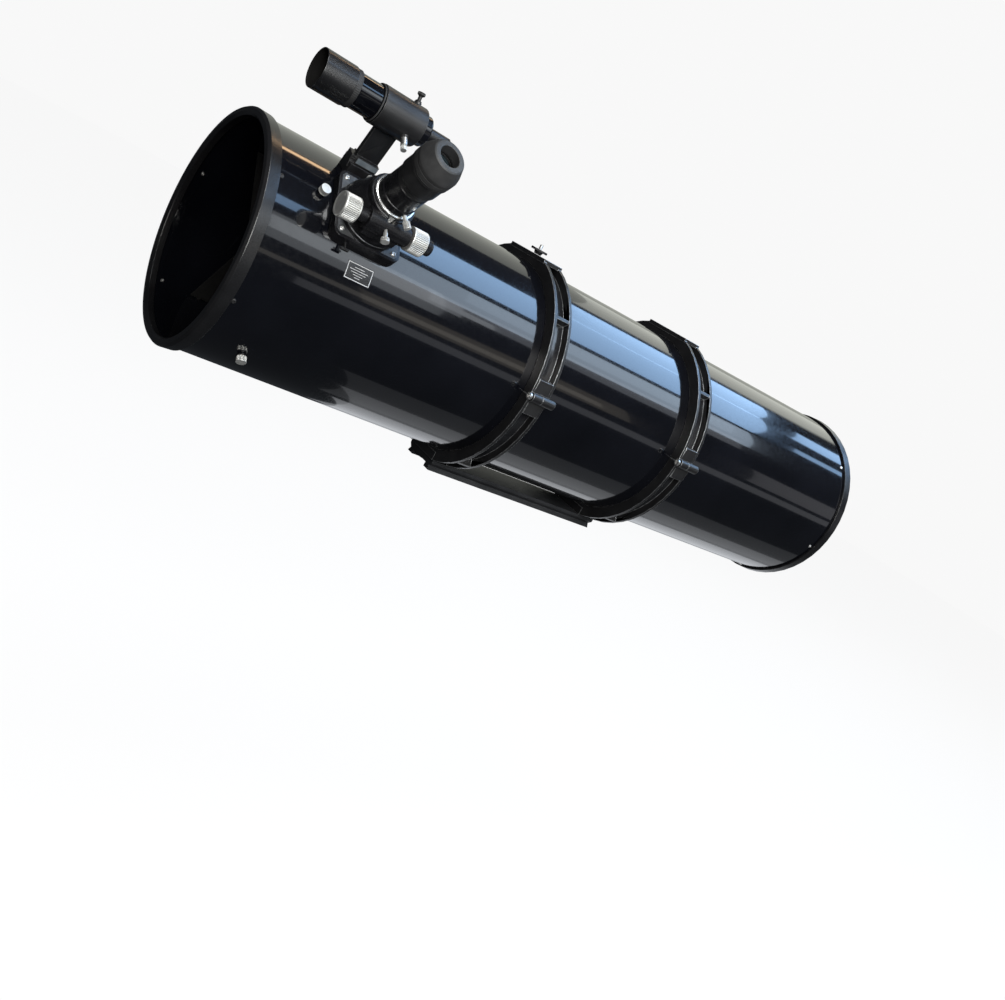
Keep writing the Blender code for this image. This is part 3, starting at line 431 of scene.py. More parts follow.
# ---------------------------------------------------------------- tube and end rings
def tube_skin():
    front, rear = 0.0055, 1.402
    profile = [(TUBE_R, rear), (TUBE_R, front), (TUBE_INNER_R, front), (TUBE_INNER_R, rear)]
    mesh = turned_mesh("main_tube_skin", tube_home, profile, axis=along_x, steps=FINE, edge=0.0002,
                       second=lambda r, h: r < TUBE_R - 0.0005)
    opening = turned_mesh("opening", focuser_home, [(0, 0.15), (0.034, 0.15), (0.034, 0.2), (0, 0.2)],
                          steps=ROUND, edge=0)
    blank = bpy.data.objects.new("blank", mesh)
    cutter = bpy.data.objects.new("cutter", opening)
    for obj in (blank, cutter):
        bpy.context.scene.collection.objects.link(obj)
    step = blank.modifiers.new("opening", "BOOLEAN")
    step.object, step.operation, step.solver = cutter, "DIFFERENCE", "EXACT"
    graph = bpy.context.evaluated_depsgraph_get()
    final = bpy.data.meshes.new_from_object(blank.evaluated_get(graph))
    for obj in (blank, cutter):
        bpy.data.objects.remove(obj)
    final.materials.clear()
    piece("main_tube_skin", final, "tube", ["paint", "inside"], ("main_tube",))


def end_rings():
    section = [(0.1765, 0.014), (0.1765, 0.005), (0.1783, 0.005), (0.1783, 0.022), (0.1825, 0.022),
               (0.1835, 0.005), (0.1805, 0.0008), (0.1735, 0.0), (0.1692, 0.004), (0.1700, 0.014)]
    turned("front_end_ring_finished", "tube", "enamel", tube_home, section, ("front_end_ring",),
           "satin_black_casting", axis=along_x, steps=FINE, edge=0.0006)
    dressed("rear_cell_frame", "tube", "enamel", bevel=0.0008, edges="enamel")
    for k in range(6):
        angle = FOCUSER_ANGLE + 60 * k
        for end, station in END_RING_SCREWS.items():
            look = "plastic" if end == "front" else "steel"
            pan_head(f"{end}_ring_screw_{k + 1}", "tube", tube_home, polar(TUBE_R, angle, station),
                     polar(1, angle), radius=0.0036, height=0.0016, look=look)
        pan_head(f"front_ring_screw_end_{k + 1}", "tube", tube_home,
                 polar(TUBE_INNER_R, angle, END_RING_SCREWS["front"]), -polar(1, angle),
                 radius=0.0028, height=0.0022, look="steel", socket=0.3)


# ---------------------------------------------------------------- spider, secondary and primary
def spider_and_secondary():
    dressed("spider", "tube", "inside", bevel=0)
    for n, angle in enumerate(SPIDER_ANGLES, 1):
        nut = [(0, 0.1910), (0.0075, 0.1910), (0.0075, 0.1825), (0.0062, 0.1815), (0.0062, 0.1788),
               (0.0029, 0.1788), (0.0029, 0.1870), (0, 0.1870)]
        # The floors between the nut's ridges take the black anodised material as painted shade.
        turned(f"spider_nut_{n}_finished", f"spider_nut_{n}", ["aluminium", "anodised"], tube_home, nut,
               (f"spider_nut_{n}",), "bare_aluminium", at=(SPIDER_STATION, 0, 0), axis=polar(1, angle),
               grip=(22, 0.0005, 0.1830, 0.1903, False), groove=1, second=lambda r, h: h < 0.1820)
    bolt = [(0, 0.119), (0.003, 0.119), (0.003, 0.0747), (0.006, 0.0747), (0.006, 0.0695),
            (0.0030, 0.0695), (0.0030, 0.0720), (0, 0.0720)]
    turned("secondary_bolt_finished", "secondary_stem", "steel", tube_home, bolt,
           ("secondary_centre_bolt",), "bright_steel", axis=along_x, steps=SMALL)
    screw = [(0, 0.1060), (0.0016, 0.1060), (0.0016, 0.0747), (0.0032, 0.0747), (0.0032, 0.0710),
             (0.0014, 0.0710), (0.0014, 0.0728), (0, 0.0728)]
    turned("secondary_screw_finished", "secondary_tilt_screw", "steel", tube_home, screw,
           ("secondary_tilt_screw",), "bright_steel", at=polar(SECONDARY_SCREW_R, FOCUSER_ANGLE),
           axis=along_x, steps=32)
    for k in (1, 2):
        pan_head(f"secondary_screw_{k + 1}", "tube", tube_home,
                 polar(SECONDARY_SCREW_R, FOCUSER_ANGLE + 120 * k, 0.0750), -along_x,
                 radius=0.0032, height=0.0038, look="steel")
    dressed("secondary_holder", "secondary", "inside", bevel=0.0005, edges="inside")
    dressed("secondary_mirror", "secondary", "mirror", bevel=0.0004, edges="ground")


def primary():
    face, back, rim = 1.325, 1.365, 0.1510
    dish = [(rim * (24 - i) / 24, face + (rim ** 2 - (rim * (24 - i) / 24) ** 2) / 6.0) for i in range(25)]
    profile = [(0, back), (rim, back), (0.1525, back - 0.0015), (0.1525, face + 0.0015)] + dish
    turned("primary_mirror_finished", "mirror_cell", ["ground", "mirror"], tube_home, profile,
           ("primary_mirror",), "mirror_coating", axis=along_x, steps=192, edge=0.0002,
           second=lambda r, h: r < rim - 0.0001 and h < face + 0.006)
    dressed("mirror_cell", "mirror_cell", "cast", bevel=0.0008, edges="cast")
    for k in range(3):
        angle = 30 + 120 * k
        home = radial_home(0, angle)
        prism(f"mirror_clip_{k + 1}", "mirror_cell", "plastic", home,
              round_outline(0.0015, 0.007, 0.001, (1.3220, 0)), 0.1455, 0.1578)
        prism(f"mirror_clip_foot_{k + 1}", "mirror_cell", "plastic", home,
              round_outline(0.0125, 0.007, 0.001, (1.3335, 0)), 0.1547, 0.1578)
        pan_head(f"mirror_clip_screw_{k + 1}", "mirror_cell", home, (1.3205, 0, 0.1560), -along_x,
                 radius=0.0024, height=0.0016)
    for n, angle in enumerate(SPOKE_ANGLES, 1):
        knob = [(0, 1.4255), (0.0060, 1.4255), (0.0070, 1.427), (0.0135, 1.427), (0.0135, 1.4140),
                (0.009, 1.4125), (0.009, 1.4089), (0.003, 1.4089), (0.003, 1.3700), (0, 1.3700)]
        turned(f"collimation_knob_{n}_finished", f"collimation_knob_{n}", ["plastic", "steel"], tube_home,
               knob, (f"collimation_knob_{n}",), "black_plastic", at=polar(COLLIMATION_R, angle),
               axis=along_x, edge=0.0008, grip=(12, 0.0016, 1.4145, 1.4265, True),
               second=lambda r, h: h < 1.4085)
        lock = [(0, 1.4140), (0.0028, 1.4140), (0.0028, 1.4165), (0.0065, 1.4165), (0.0065, 1.4089),
                (0.002, 1.4089), (0.002, 1.3805), (0, 1.3805)]
        turned(f"cell_lock_screw_{n}_finished", f"cell_lock_screw_{n}", "steel", tube_home, lock,
               (f"cell_lock_screw_{n}",), "bright_steel", at=polar(CELL_LOCK_R, angle), axis=along_x,
               grip=(20, 0.0004, 1.4095, 1.4158, False))
        coil(f"collimation_spring_{n}_finished", "tube", "steel", tube_home, 0.0066, 0.0151, 3.5, 0.0008,
             polar(COLLIMATION_R, angle, 1.3823), along_x, (f"collimation_spring_{n}",))


# ---------------------------------------------------------------- cradle
def cradle():
    for where, station in RING_STATIONS.items():
        for half, body in (("upper", f"ring_upper_{where}"), ("lower", "cradle")):
            # The bevelled edges of the ring halves are pale: wear and a painted highlight.
            dressed(f"ring_{half}_{where}", body, "cast", bevel=0.0006,
                    edges="worn_edge_and_highlight", pocket_r=0.1868)
        head, tail = station - 0.0004, station + RING_WIDTH + 0.010
        pin = [(0, tail), (0.003, tail), (0.003, head), (0.0058, head), (0.0058, head - 0.0045),
               (0.0030, head - 0.0045), (0.0030, head - 0.0020), (0, head - 0.0020)]
        turned(f"hinge_pin_{where}_finished", "cradle", "steel", tube_home, pin, (f"hinge_pin_{where}",),
               "bright_steel", at=(0, HINGE_Y, 0), axis=along_x, steps=SMALL, edge=0.0005)
        clamp = [(0, 0.0425), (0.0060, 0.0425), (0.0070, 0.044), (0.0150, 0.044), (0.0150, 0.026),
                 (0.0070, 0.0235), (0.0070, 0.0144), (0.0040, 0.0144), (0.0040, -0.0135), (0, -0.0135)]
        centre = station + RING_WIDTH / 2
        turned(f"clamp_screw_{where}_finished", f"clamp_screw_{where}", ["plastic", "steel"], tube_home,
               clamp, (f"clamp_screw_{where}",), "black_plastic", at=(centre, CLAMP_Y, 0), edge=0.001,
               grip=(7, 0.0030, 0.0265, 0.0436, True), second=lambda r, h: h < 0.0143)
        for n, y in enumerate((-0.013, 0.013), 1):
            prism(f"ring_bolt_{where}_{n}", "cradle", "steel", tube_home,
                  hex_outline(0.0062, (centre, y)), -0.2122, -0.2071, edge=0.0005)
    centre = RING_STATIONS["front"] + RING_WIDTH / 2
    seat = [(0, 0.2050), (0.0150, 0.2050), (0.0150, 0.2012), (0.0080, 0.2012), (0.0060, 0.1959),
            (0, 0.1959)]
    turned("camera_screw_seat", "accessory_screw", "plastic", tube_home, seat, ("accessory_screw",),
           "black_plastic", at=(centre, 0, 0), grip=(36, 0.0005, 0.2016, 0.2046, False))
    pitch = 0.00127
    thread = [(0, 0.2135)] + [(0.0030 - 0.0005 * (k % 2), 0.2132 - pitch / 2 * k) for k in range(13)]
    turned("camera_screw_stud", "accessory_screw", "steel", tube_home, thread + [(0, 0.2052)],
           slot="black_plastic", at=(centre, 0, 0), steps=32, edge=0)
    dressed("dovetail_plate", "cradle", "plate", bevel=0.0006, edges="plate")


# ---------------------------------------------------------------- focuser and eyepiece
def focuser():
    """The base and body, with the base's screws, corner flats and thumbscrew."""
    dressed("focuser_base", "tube", "anodised", bevel=0.0007, edges="anodised")
    dressed("focuser_body", "tube", "anodised", bevel=0.0006, edges="anodised")
    number = 0
    for sx in (-1, 1):
        for sy in (-1, 1):
            number += 1
            corner = [(sx * 0.0500, sy * 0.0440), (sx * 0.0455, sy * 0.0492), (sx * 0.0220, sy * 0.0492),
                      (sx * 0.0500, sy * 0.0205)]
            prism(f"base_corner_flat_{number}", "tube", "recess", focuser_home, corner, 0.1886, 0.1892,
                  edge=0.0001)
            pan_head(f"base_screw_{number}", "tube", focuser_home, (sx * 0.0434, sy * 0.0420, 0.1892),
                     (0, 0, 1), radius=0.0040, height=0.0020)
    rim = [(0.0508, 0.1954), (0.0502, 0.1958), (0.0503, 0.1951), (0.0508, 0.1948)]
    turned("boss_bright_line", "tube", "recess", focuser_home, rim, steps=ROUND, edge=0)
    stem = [(0, -0.0640), (0.0016, -0.0640), (0.0016, -0.0540), (0, -0.0540)]
    turned("base_thumbscrew_stem", "tube", "plastic", focuser_home, stem, at=(-0.030, 0, 0.1800),
           axis=(0, 1, 0), steps=20, edge=0.0001)
    prism("base_thumbscrew_head", "tube", "plastic", focuser_home,
          round_outline(0.0062, 0.0018, 0.0008, (-0.030, 0.1800)), -0.0670, -0.0638, axis="y", edge=0.0004)


def drawtube():
    """The drawtube with its rack, and the adapter in its mouth."""
    barrel = [(0.0285, 0.2620), (0.0300, 0.2605), (0.0300, 0.2512), (0.0302, 0.2500), (0.0302, 0.2466),
              (0.0285, 0.2466), (0.0285, 0.1520), (0.0262, 0.1520), (0.0262, 0.2620)]
    turned("drawtube_barrel", "drawtube", ["anodised", "inside"], focuser_home, barrel, ("drawtube",),
           "black_anodised", second=lambda r, h: r < 0.0265)
    trim = [(0.0303, 0.2508), (0.0330, 0.2500), (0.0330, 0.2466), (0.0303, 0.2466)]
    turned("drawtube_trim_ring", "drawtube", "steel", focuser_home, trim, slot="black_anodised",
           edge=0.0005)
    teeth = [(0.1560, -0.0280)]
    pitch, count = 0.0030, 30
    for k in range(count):
        z = 0.1562 + pitch * k
        teeth += [(z, -0.0312), (z + 0.0008, -0.0325), (z + 0.0016, -0.0325), (z + 0.0024, -0.0312)]
    teeth.append((0.2462, -0.0280))
    prism("drawtube_rack", "drawtube", "steel", focuser_home,
          [(y, z) for z, y in teeth], -0.004, 0.004, axis="x", edge=0)

    adapter = [(0.0272, 0.2922), (0.0288, 0.2905), (0.0288, 0.2800), (0.0285, 0.2797), (0.0285, 0.2790),
               (0.0288, 0.2787), (0.0288, 0.2624), (0.0258, 0.2624), (0.0258, 0.2922)]
    turned("eyepiece_adapter_finished", "drawtube", "anodised", focuser_home, adapter,
           ("eyepiece_adapter",), "black_anodised", edge=0.0005)
    set_screw_angle = math.radians(-62)
    side = Vector((math.cos(set_screw_angle), math.sin(set_screw_angle), 0))
    pan_head("adapter_set_screw", "drawtube", focuser_home, side * 0.0288 + Vector((0, 0, 0.2745)), side,
             radius=0.0036, height=0.0013, socket=0.5)


def eyepiece():
    body = [(0.0163, 0.3475), (0.0275, 0.3475), (0.0303, 0.3315), (0.0323, 0.3312), (0.0323, 0.3268),
            (0.0310, 0.3262), (0.0310, 0.3030), (0.0302, 0.3026), (0.0302, 0.3012), (0.0290, 0.3000),
            (0.0288, 0.2926), (0.0253, 0.2926), (0.0253, 0.2250), (0.0236, 0.2250), (0.0236, 0.3000),
            (0.0150, 0.3130), (0.0150, 0.3430), (0.0163, 0.3430)]
    turned("eyepiece_body_finished", "eyepiece", ["plastic", "steel"], focuser_home, body,
           ("eyepiece_body",), "black_anodised", edge=0.0004, sharp=16,
           second=lambda r, h: h < 0.2920 and r > 0.0240)
    ribs = [(0.0321, 0.3310), (0.0325, 0.3307), (0.0325, 0.3273), (0.0321, 0.3270)]
    turned("eyepiece_rib_ring", "eyepiece", "band", focuser_home, ribs, slot="black_anodised", edge=0.0001,
           grip=(90, 0.0003, 0.3276, 0.3304, False))
    cup = [(0.0155, 0.3655), (0.0165, 0.3660), (0.0222, 0.3660), (0.0244, 0.3645), (0.0312, 0.3500),
           (0.0328, 0.3440), (0.0328, 0.3400), (0.0324, 0.3394), (0.0324, 0.3386), (0.0328, 0.3380),
           (0.0328, 0.3318), (0.0307, 0.3318), (0.0280, 0.3482), (0.0170, 0.3482), (0.0155, 0.3520)]
    turned("eyecup_finished", "eyepiece", ["rubber", "cup_face"], focuser_home, cup, ("eyecup",), "rubber",
           edge=0.0007, sharp=12, second=lambda r, h: h > 0.3642)
    eye = [(0, 0.3470), (0.0040, 0.3469), (0.0080, 0.3466), (0.0120, 0.3460), (0.0158, 0.3452),
           (0.0158, 0.3434), (0, 0.3434)]
    turned("eye_lens_finished", "eyepiece", "dark_lens", focuser_home, eye, ("eye_lens",), "coated_glass",
           edge=0.0001)
    field = [(0, 0.2980), (0.0120, 0.2975), (0.0230, 0.2960), (0.0230, 0.2920), (0.0120, 0.2890),
             (0, 0.2880)]
    turned("field_lens_finished", "eyepiece", "dark_lens", focuser_home, field, ("field_lens",),
           "coated_glass", edge=0.0001)


def focuser_drive():
    shaft = [(0, -0.0690), (0.003, -0.0690), (0.003, 0.0720), (0, 0.0720)]
    turned("focus_shaft_finished", "coarse_drive", "steel", focuser_home, shaft, ("focus_shaft",),
           "bright_steel", at=PINION_AXIS, axis=along_x, steps=32)
    front = [(0, -0.0694), (0.0033, -0.0694), (0.0033, -0.0480), (0.0180, -0.0480), (0.0180, -0.0715),
             (0.0165, -0.0730), (0.0140, -0.0730), (0.0134, -0.0724), (0, -0.0724)]
    rear = [(0.0033, 0.0395), (0.0180, 0.0395), (0.0180, 0.0640), (0.0033, 0.0640)]
    fine = [(0, 0.0724), (0.0033, 0.0724), (0.0033, 0.0645), (0.0115, 0.0645), (0.0115, 0.0765),
            (0.0105, 0.0775), (0.0080, 0.0775), (0.0075, 0.0770), (0, 0.0770)]
    # The aluminium knobs take a dark material on the floors between their ridges: painted shade.
    grips = {"coarse_knob_front": (front, "coarse_drive", "aluminium", (40, 0.0009, -0.0700, -0.0500, False)),
             "coarse_knob_rear": (rear, "coarse_drive", "aluminium", (40, 0.0009, 0.0410, 0.0628, False)),
             "fine_knob": (fine, "fine_knob", "anodised", (44, 0.0004, 0.0662, 0.0745, False))}
    for node, (profile, body, look, grip) in grips.items():
        slot = "bare_aluminium" if look == "aluminium" else "black_anodised"
        turned(node + "_finished", body, [look, "groove"], focuser_home, profile, (node,), slot,
               at=PINION_AXIS, axis=along_x, grip=grip, groove=1 if look == "aluminium" else None,
               edge=0.0006)
    lock = [(0, 0.0677), (0.0050, 0.0682), (0.0062, 0.0677), (0.0062, 0.0620), (0.0032, 0.0610),
            (0.0032, 0.0525), (0.0022, 0.0525), (0.0022, 0.0350), (0, 0.0350)]
    # The two screws below also take the dark material between their ridges as painted shade.
    turned("draw_lock_screw_finished", "draw_lock_screw", ["aluminium", "groove"], focuser_home, lock,
           ("draw_lock_screw",), "bare_aluminium", at=(-0.0025, 0, 0.2355), axis=(0, -1, 0),
           grip=(26, 0.0005, 0.0624, 0.0674, False), groove=1)
    clamp_angle = math.radians(-68)
    clamp = [(0, 0.0500), (0.0052, 0.0500), (0.0052, 0.0400), (0.0035, 0.0390), (0.0035, 0.0312),
             (0.0018, 0.0312), (0.0018, 0.0276), (0, 0.0276)]
    turned("eyepiece_clamp_screw_finished", "eyepiece_clamp_screw", ["aluminium", "groove"],
           focuser_home, clamp, ("eyepiece_clamp_screw",), "bare_aluminium", at=(0, 0, 0.2560),
           axis=(math.cos(clamp_angle), math.sin(clamp_angle), 0),
           grip=(22, 0.0005, 0.0404, 0.0494, False), groove=1)


# ---------------------------------------------------------------- finder
def finder():
    """The finder's own tube, cell, lens, lock ring and eyepiece, and the ring it pivots in."""
    cell = [(0.0283, 0.0160), (0.0283, 0.0645), (0.0254, 0.0645), (0.0254, 0.0530), (0.0235, 0.0530),
            (0.0235, 0.0505), (0.0259, 0.0505), (0.0264, 0.0160)]
    turned("finder_dew_shield", "finder_objective", ["enamel", "inside"], finder_home, cell,
           ("finder_objective_cell",), "satin_black_casting", axis=along_x, edge=0.0006,
           second=lambda r, h: r < 0.0268)
    lens = [(0, 0.0522), (0.0130, 0.0514), (0.0228, 0.0500), (0.0256, 0.0499), (0.0256, 0.0462),
            (0.0200, 0.0452), (0.0130, 0.0442), (0.0060, 0.0437), (0, 0.0436)]
    turned("finder_objective_finished", "finder_objective", "dark_lens", finder_home, lens,
           ("finder_objective_lens",), "coated_glass", axis=along_x, edge=0.0001)
    lock = [(0.0270, 0.0649), (0.0270, 0.0730), (0.0253, 0.0730), (0.0253, 0.0649)]
    turned("finder_lock_ring_finished", "finder_lock_ring", "band", finder_home, lock,
           ("finder_lock_ring",), "satin_black_casting", axis=along_x,
           grip=(60, 0.0003, 0.0655, 0.0724, False))
    tube = [(0.0250, 0.0536), (0.0250, 0.1165), (0.0225, 0.1195), (0.0225, 0.1935), (0.0210, 0.1957),
            (0.0104, 0.1957), (0.0104, 0.1910), (0.0208, 0.1880), (0.0208, 0.1200), (0.0234, 0.1160),
            (0.0234, 0.0536)]
    turned("finder_tube_finished", "finder", ["paint", "inside"], finder_home, tube, ("finder_tube",),
           "gloss_black_paint", axis=along_x, edge=0.0005,
           second=lambda r, h: r < 0.0235 and not (r > 0.0215 or h > 0.1950))
    eye = [(0.0100, 0.1860), (0.0100, 0.2310), (0.0097, 0.2313), (0.0097, 0.2322), (0.0100, 0.2325),
           (0.0100, 0.2350), (0.0090, 0.2360), (0.0074, 0.2360), (0.0074, 0.1860)]
    turned("finder_eyepiece_finished", "finder", "cast", finder_home, eye, ("finder_eyepiece",),
           "satin_black_casting", axis=along_x, steps=64, edge=0.0003)
    ring = [(0.0267 + 0.0013 * math.cos(a), 0.1092 + 0.0013 * math.sin(a))
            for a in (math.tau * i / 14 for i in range(14))]
    turned("finder_rubber_ring_finished", "finder_pivot", "rubber", finder_home, ring,
           ("finder_rubber_ring",), "rubber", axis=along_x, edge=0)


def finder_mount():
    dressed("finder_bracket", "finder_bracket", "cast", bevel=0.0006)
    dressed("finder_shoe", "tube", "cast", bevel=0.0005)
    for n in range(3):
        prism(f"bracket_grip_rib_{n + 1}", "finder_bracket", "edge", shoe_home,
              round_outline(0.0036, 0.0008, 0.0006, (0.1258, 0.2010 + 0.0030 * n)), -0.0107, -0.0098,
              axis="y", edge=0.0003)
    # A thin blue-grey strip on the side of the bracket's foot: a painted highlight.
    prism("bracket_foot_painted_highlight", "finder_bracket", "facing", shoe_home,
          round_outline(0.0172, 0.0040, 0.0006, (0.148, 0.2045)), -0.0139, -0.0133, axis="y", edge=0.0002)


def finder_screws():
    """The two adjusting screws, the sprung plunger against them and the screw of the shoe."""
    screw = [(0, 0.0448), (0.0058, 0.0448), (0.0058, 0.0412), (0.0028, 0.0390), (0.0028, 0.0335),
             (0.0046, 0.0328), (0.0046, 0.0316), (0.0020, 0.0316), (0.0020, 0.0241), (0, 0.0241)]
    for letter, angle in ADJUST_ANGLES.items():
        node = f"finder_adjust_screw_{letter}"
        turned(node + "_finished", node, "plastic", finder_home, screw, (node,), "black_plastic",
               at=(ADJUST_STATION, 0, 0), axis=across(angle), grip=(18, 0.0005, 0.0413, 0.0447, False))
    housing = [(0.0050, 0.0435), (0.0050, 0.0316), (0.0037, 0.0316), (0.0037, 0.0275), (0.0026, 0.0275),
               (0.0026, 0.0435)]
    turned("finder_spring_housing_finished", "finder_bracket", "steel", finder_home, housing,
           ("finder_spring_housing",), "bright_steel", at=(PLUNGER_STATION, 0, 0),
           axis=across(PLUNGER_ANGLE), steps=SMALL)
    plunger = [(0, 0.0520), (0.0044, 0.0520), (0.0044, 0.0450), (0.0022, 0.0445), (0.0022, 0.0252),
               (0.0012, 0.0241), (0, 0.0241)]
    turned("finder_spring_plunger_finished", "finder_spring_plunger", "aluminium", finder_home, plunger,
           ("finder_spring_plunger",), "bare_aluminium", at=(PLUNGER_STATION, 0, 0),
           axis=across(PLUNGER_ANGLE), grip=(20, 0.0004, 0.0454, 0.0516, False))
    shoe_screw = [(0, 0.0290), (0.0050, 0.0290), (0.0050, 0.0225), (0.0036, 0.0215), (0.0036, 0.0194),
                  (0.0020, 0.0194), (0.0020, 0.0148), (0, 0.0148)]
    # The floors between this screw's ridges take a dark material as painted shade.
    turned("finder_shoe_screw_finished", "finder_shoe_screw", ["aluminium", "groove"], shoe_home, shoe_screw,
           ("finder_shoe_screw",), "bare_aluminium", at=(0.158, 0, 0.1940), axis=(0, -1, 0),
           grip=(20, 0.0005, 0.0228, 0.0286, False), groove=1)


# ---------------------------------------------------------------- small label on the tube
def curved_patch(name, look, angle, station, half_x, half_angle, lift):
    """A thin plate that lies on the tube, between two radii."""
    bm = bmesh.new()
    steps = 12
    layers = []
    for radius in (TUBE_R + 0.00001, TUBE_R + lift):
        layers.append([[bm.verts.new(tube_home @ polar(radius, angle - half_angle
                                                       + 2 * half_angle * k / steps, station + sx * half_x))
                        for k in range(steps + 1)] for sx in (-1, 1)])
    for first, then in layers:
        for k in range(steps):
            bm.faces.new((first[k], first[k + 1], then[k + 1], then[k]))
    low, high = layers
    for side in (0, 1):
        for k in range(steps):
            bm.faces.new((low[side][k], low[side][k + 1], high[side][k + 1], high[side][k]))
    for end in (0, steps):
        bm.faces.new((low[0][end], low[1][end], high[1][end], high[0][end]))
    bmesh.ops.recalc_face_normals(bm, faces=bm.faces)
    piece(name, mesh_from(bm, name), "tube", look)


def label():
    """A dark plate with a printed border and five plain bars, which stand for its lines of print."""
    angle, station, half_x, half_angle = 17.2, 0.171, 0.0216, 4.15
    curved_patch("label_plate", "label", angle, station, half_x, half_angle, 0.00012)
    for n, (da, length) in enumerate(((2.1, 0.0080), (1.0, 0.0150), (-0.1, 0.0120), (-1.2, 0.0075),
                                      (-2.3, 0.0045)), 1):
        curved_patch(f"label_bar_{n}", "print", angle + da, station - 0.0010, length, 0.11, 0.00020)
    line, line_angle = 0.0005, 0.16
    for n, (da, sx, hx, ha) in enumerate(((half_angle - 0.45, 0, half_x - 0.0010, line_angle),
                                          (-half_angle + 0.45, 0, half_x - 0.0010, line_angle),
                                          (0, -half_x + 0.0015, line, half_angle - 0.45),
                                          (0, half_x - 0.0015, line, half_angle - 0.45)), 1):
        curved_patch(f"label_border_{n}", "print", angle + da, station + sx, hx, ha, 0.00022)


# ---------------------------------------------------------------- studio
def area_light(name, low, high, start, end, distance, brightness, colour, spin=0.0):
    """A softbox along the tube: it fills the directions from low to high, in degrees up from the -Y side
    round the tube's axis, and runs from start to end along X. Brightness is that of its face."""
    half = math.radians(high - low) / 2
    width, length = 2 * distance * math.tan(half), end - start
    lamp = bpy.data.lights.new(name, "AREA")
    lamp.shape, lamp.size, lamp.size_y = "RECTANGLE", length, width
    lamp.energy, lamp.color = math.pi * brightness * length * width, colour
    obj = bpy.data.objects.new(name, lamp)
    bpy.context.scene.collection.objects.link(obj)
    out = polar(1, (low + high) / 2)
    turn = Matrix((along_x, out.cross(along_x), out)).transposed().to_4x4()
    obj.matrix_world = (Matrix.Translation(Vector(((start + end) / 2, 0, AXIS_HEIGHT)) + out * distance)
                        @ turn @ Matrix.Rotation(math.radians(spin), 4, "Z"))
    obj.visible_camera = False


def flat_emission(name, colour, diffuse=(0, 0, 0)):
    """A surface that shows this colour in any light, and takes faint shadows by its diffuse part."""
    made = bpy.data.materials.new(name)
    made.use_nodes = True
    tree = made.node_tree
    shader = tree.nodes["Principled BSDF"]
    shader.inputs["Base Color"].default_value = (*diffuse, 1)
    shader.inputs["Roughness"].default_value = 0.9
    shader.inputs["Specular IOR Level"].default_value = 0.0
    shader.inputs["Emission Color"].default_value = (*colour, 1)
    shader.inputs["Emission Strength"].default_value = 1.0
    return made


def backdrop():
    """A pale floor below the object inside a pale dome. Neither shows in reflections or lights it."""
    floor_height, floor_radius, dome_radius = -0.95, 14.0, 15.0
    bm = bmesh.new()
    bmesh.ops.create_circle(bm, cap_ends=True, segments=96, radius=floor_radius)
    bmesh.ops.translate(bm, vec=(0, 0, floor_height), verts=bm.verts)
    floor = bpy.data.objects.new("floor", mesh_from(bm, "floor"))
    bm = bmesh.new()
    bmesh.ops.create_icosphere(bm, subdivisions=5, radius=dome_radius)
    dome = bpy.data.objects.new("backdrop", mesh_from(bm, "backdrop"))
    floor.data.materials.append(flat_emission("pale_floor", (0.925, 0.925, 0.925), (0.10, 0.10, 0.10)))
    dome.data.materials.append(flat_emission("pale_backdrop", (0.94, 0.94, 0.94)))
    for obj in (floor, dome):
        bpy.context.scene.collection.objects.link(obj)
        obj.visible_glossy = obj.visible_diffuse = False
    dome.visible_shadow = False


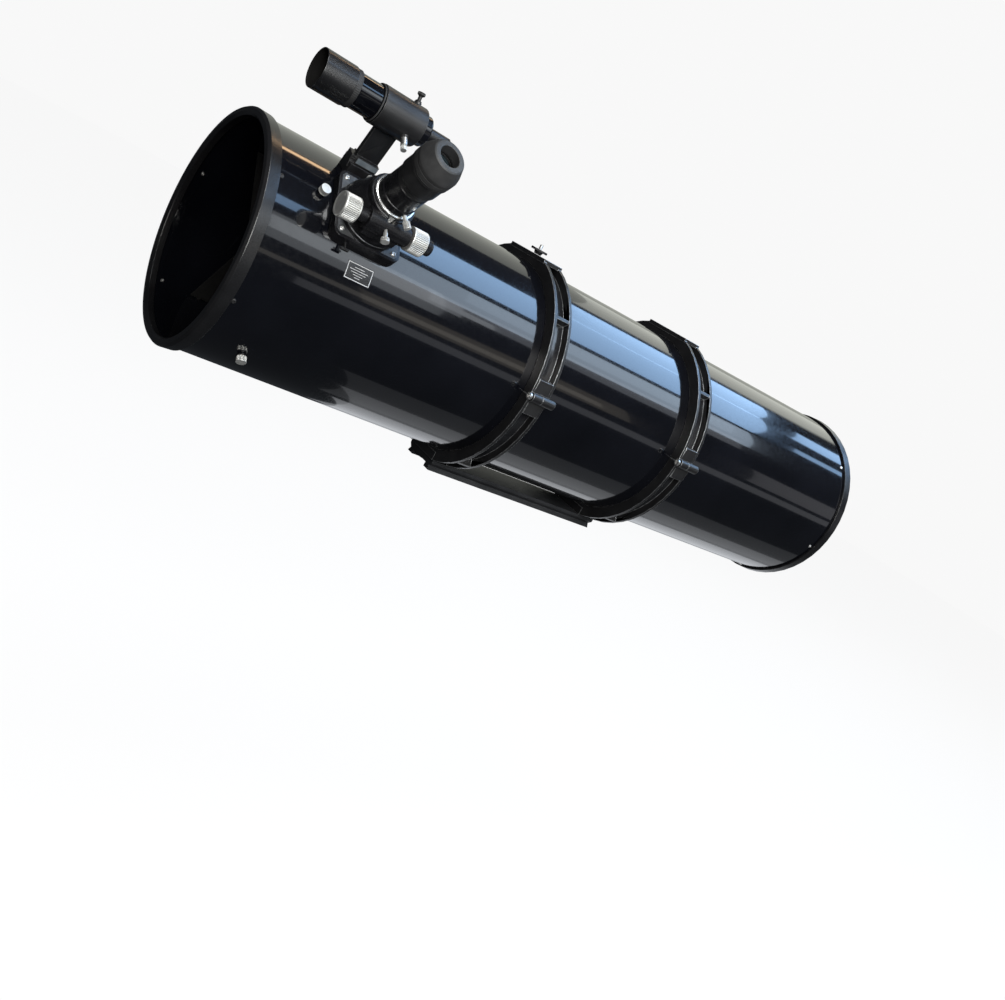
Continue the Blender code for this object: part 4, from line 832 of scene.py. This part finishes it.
def studio():
    """A faint blue world and soft panels, whose reflections run along the tube."""
    scene = bpy.context.scene
    scene.view_settings.view_transform = "Standard"
    world = bpy.data.worlds.new("studio")
    scene.world = world
    world.use_nodes = True
    sky = world.node_tree.nodes["Background"]
    sky.inputs["Color"].default_value = (0.80, 0.88, 1.0, 1)
    sky.inputs["Strength"].default_value = 0.03

    # name, low and high angle, start and end, distance, brightness, colour
    blue, pale = (0.40, 0.64, 1.0), (0.88, 0.94, 1.0)
    area_light("sky_panel", 66, 92, 0.9, 3.7, 3.0, 4.0, blue, spin=-2)
    area_light("sky_panel_upper", 91, 113, 2.0, 3.7, 3.0, 4.0, blue, spin=-2)
    area_light("sky_panel_rear_upper", 84, 98, 4.0, 5.6, 3.0, 3.2, blue, spin=-7)
    area_light("sky_panel_rear_lower", 66, 72, 4.0, 6.2, 3.0, 2.6, blue, spin=-5)
    area_light("soft_band_1", 43, 62, 0.9, 3.6, 3.0, 2.5, (0.62, 0.77, 0.95), spin=1)
    area_light("soft_band_2", 50, 61, 1.4, 3.4, 3.0, 0.5, (0.60, 0.76, 0.95), spin=-1)
    area_light("soft_band_3", 36, 46, 1.2, 3.5, 3.0, 0.6, (0.75, 0.80, 0.88), spin=2)
    area_light("front_patch", 54, 62, 0.25, 0.80, 3.0, 2.4, blue)
    area_light("front_streak_1", 24, 46, 0.35, 1.30, 3.0, 0.7, pale, spin=1)
    area_light("front_streak_2", 32, 43, 0.40, 1.40, 3.0, 1.0, pale, spin=1)
    area_light("front_streak_3", 35, 40, 0.45, 1.60, 3.0, 0.9, pale, spin=1)
    area_light("front_streak_low", 9, 13, 0.3, 2.4, 3.0, 0.35, (1.0, 0.94, 0.84), spin=4)
    area_light("level_streak", -6, 1, 0.6, 5.4, 3.0, 0.30, (0.92, 0.94, 1.0), spin=-1.5)
    area_light("rear_streak", 4, 20, 3.7, 6.2, 3.0, 0.30, (0.95, 0.95, 1.0), spin=-2)
    area_light("warm_streak", 7, 18, 1.0, 2.8, 3.2, 0.25, (1.0, 0.90, 0.74), spin=5)
    area_light("warm_strip", 113, 117, 0.3, 0.95, 3.0, 4.5, (1.0, 0.66, 0.38))
    area_light("far_panel", 119, 176, 0.2, 6.4, 3.2, 0.40, (0.95, 0.97, 0.86))
    area_light("far_panel_rear", 116, 150, 2.4, 6.8, 3.3, 0.45, (0.96, 0.98, 0.90), spin=-3)
    area_light("ground_panel", -156, -108, 0.1, 3.8, 1.08, 0.45, (0.92, 0.95, 1.0))
    area_light("ground_panel_near", -140, -84, 0.1, 3.8, 1.08, 0.28, (0.92, 0.95, 1.0))
    area_light("ground_panel_edge", -104, -62, 0.1, 3.6, 1.20, 0.10, (0.92, 0.95, 1.0))
    area_light("front_key", 6, 34, -3.2, -1.5, 4.2, 9.0, (1.0, 0.97, 0.93))
    area_light("side_key", 4, 36, -0.9, 0.2, 4.2, 13.0, (0.98, 1.0, 0.99))
    area_light("top_key", 50, 80, -1.2, 0.1, 4.2, 9.0, (0.98, 0.99, 1.0))


def camera():
    """In front of the open end, on the focuser's side. right and down are directions in its picture."""
    place = (-1.2274, -1.5378, 0.4126)
    right = Vector((0.74166, -0.46624, 0.48224))
    down = Vector((0.27384, -0.44583, -0.85220))
    data = bpy.data.cameras.new("camera")
    data.lens, data.sensor_width = 38.273, 36.0
    data.shift_x, data.shift_y = -0.0019, -0.0109
    data.clip_start, data.clip_end = 0.05, 60.0
    obj = bpy.data.objects.new("camera", data)
    ahead = right.cross(down)
    turn = Matrix((right, -down, -ahead)).transposed().to_4x4()
    obj.matrix_world = Matrix.Translation(place) @ turn
    bpy.context.scene.collection.objects.link(obj)
    bpy.context.scene.camera = obj


tube_skin()
end_rings()
spider_and_secondary()
primary()
cradle()
focuser()
drawtube()
eyepiece()
focuser_drive()
finder()
finder_mount()
finder_screws()
label()
backdrop()
studio()
camera()
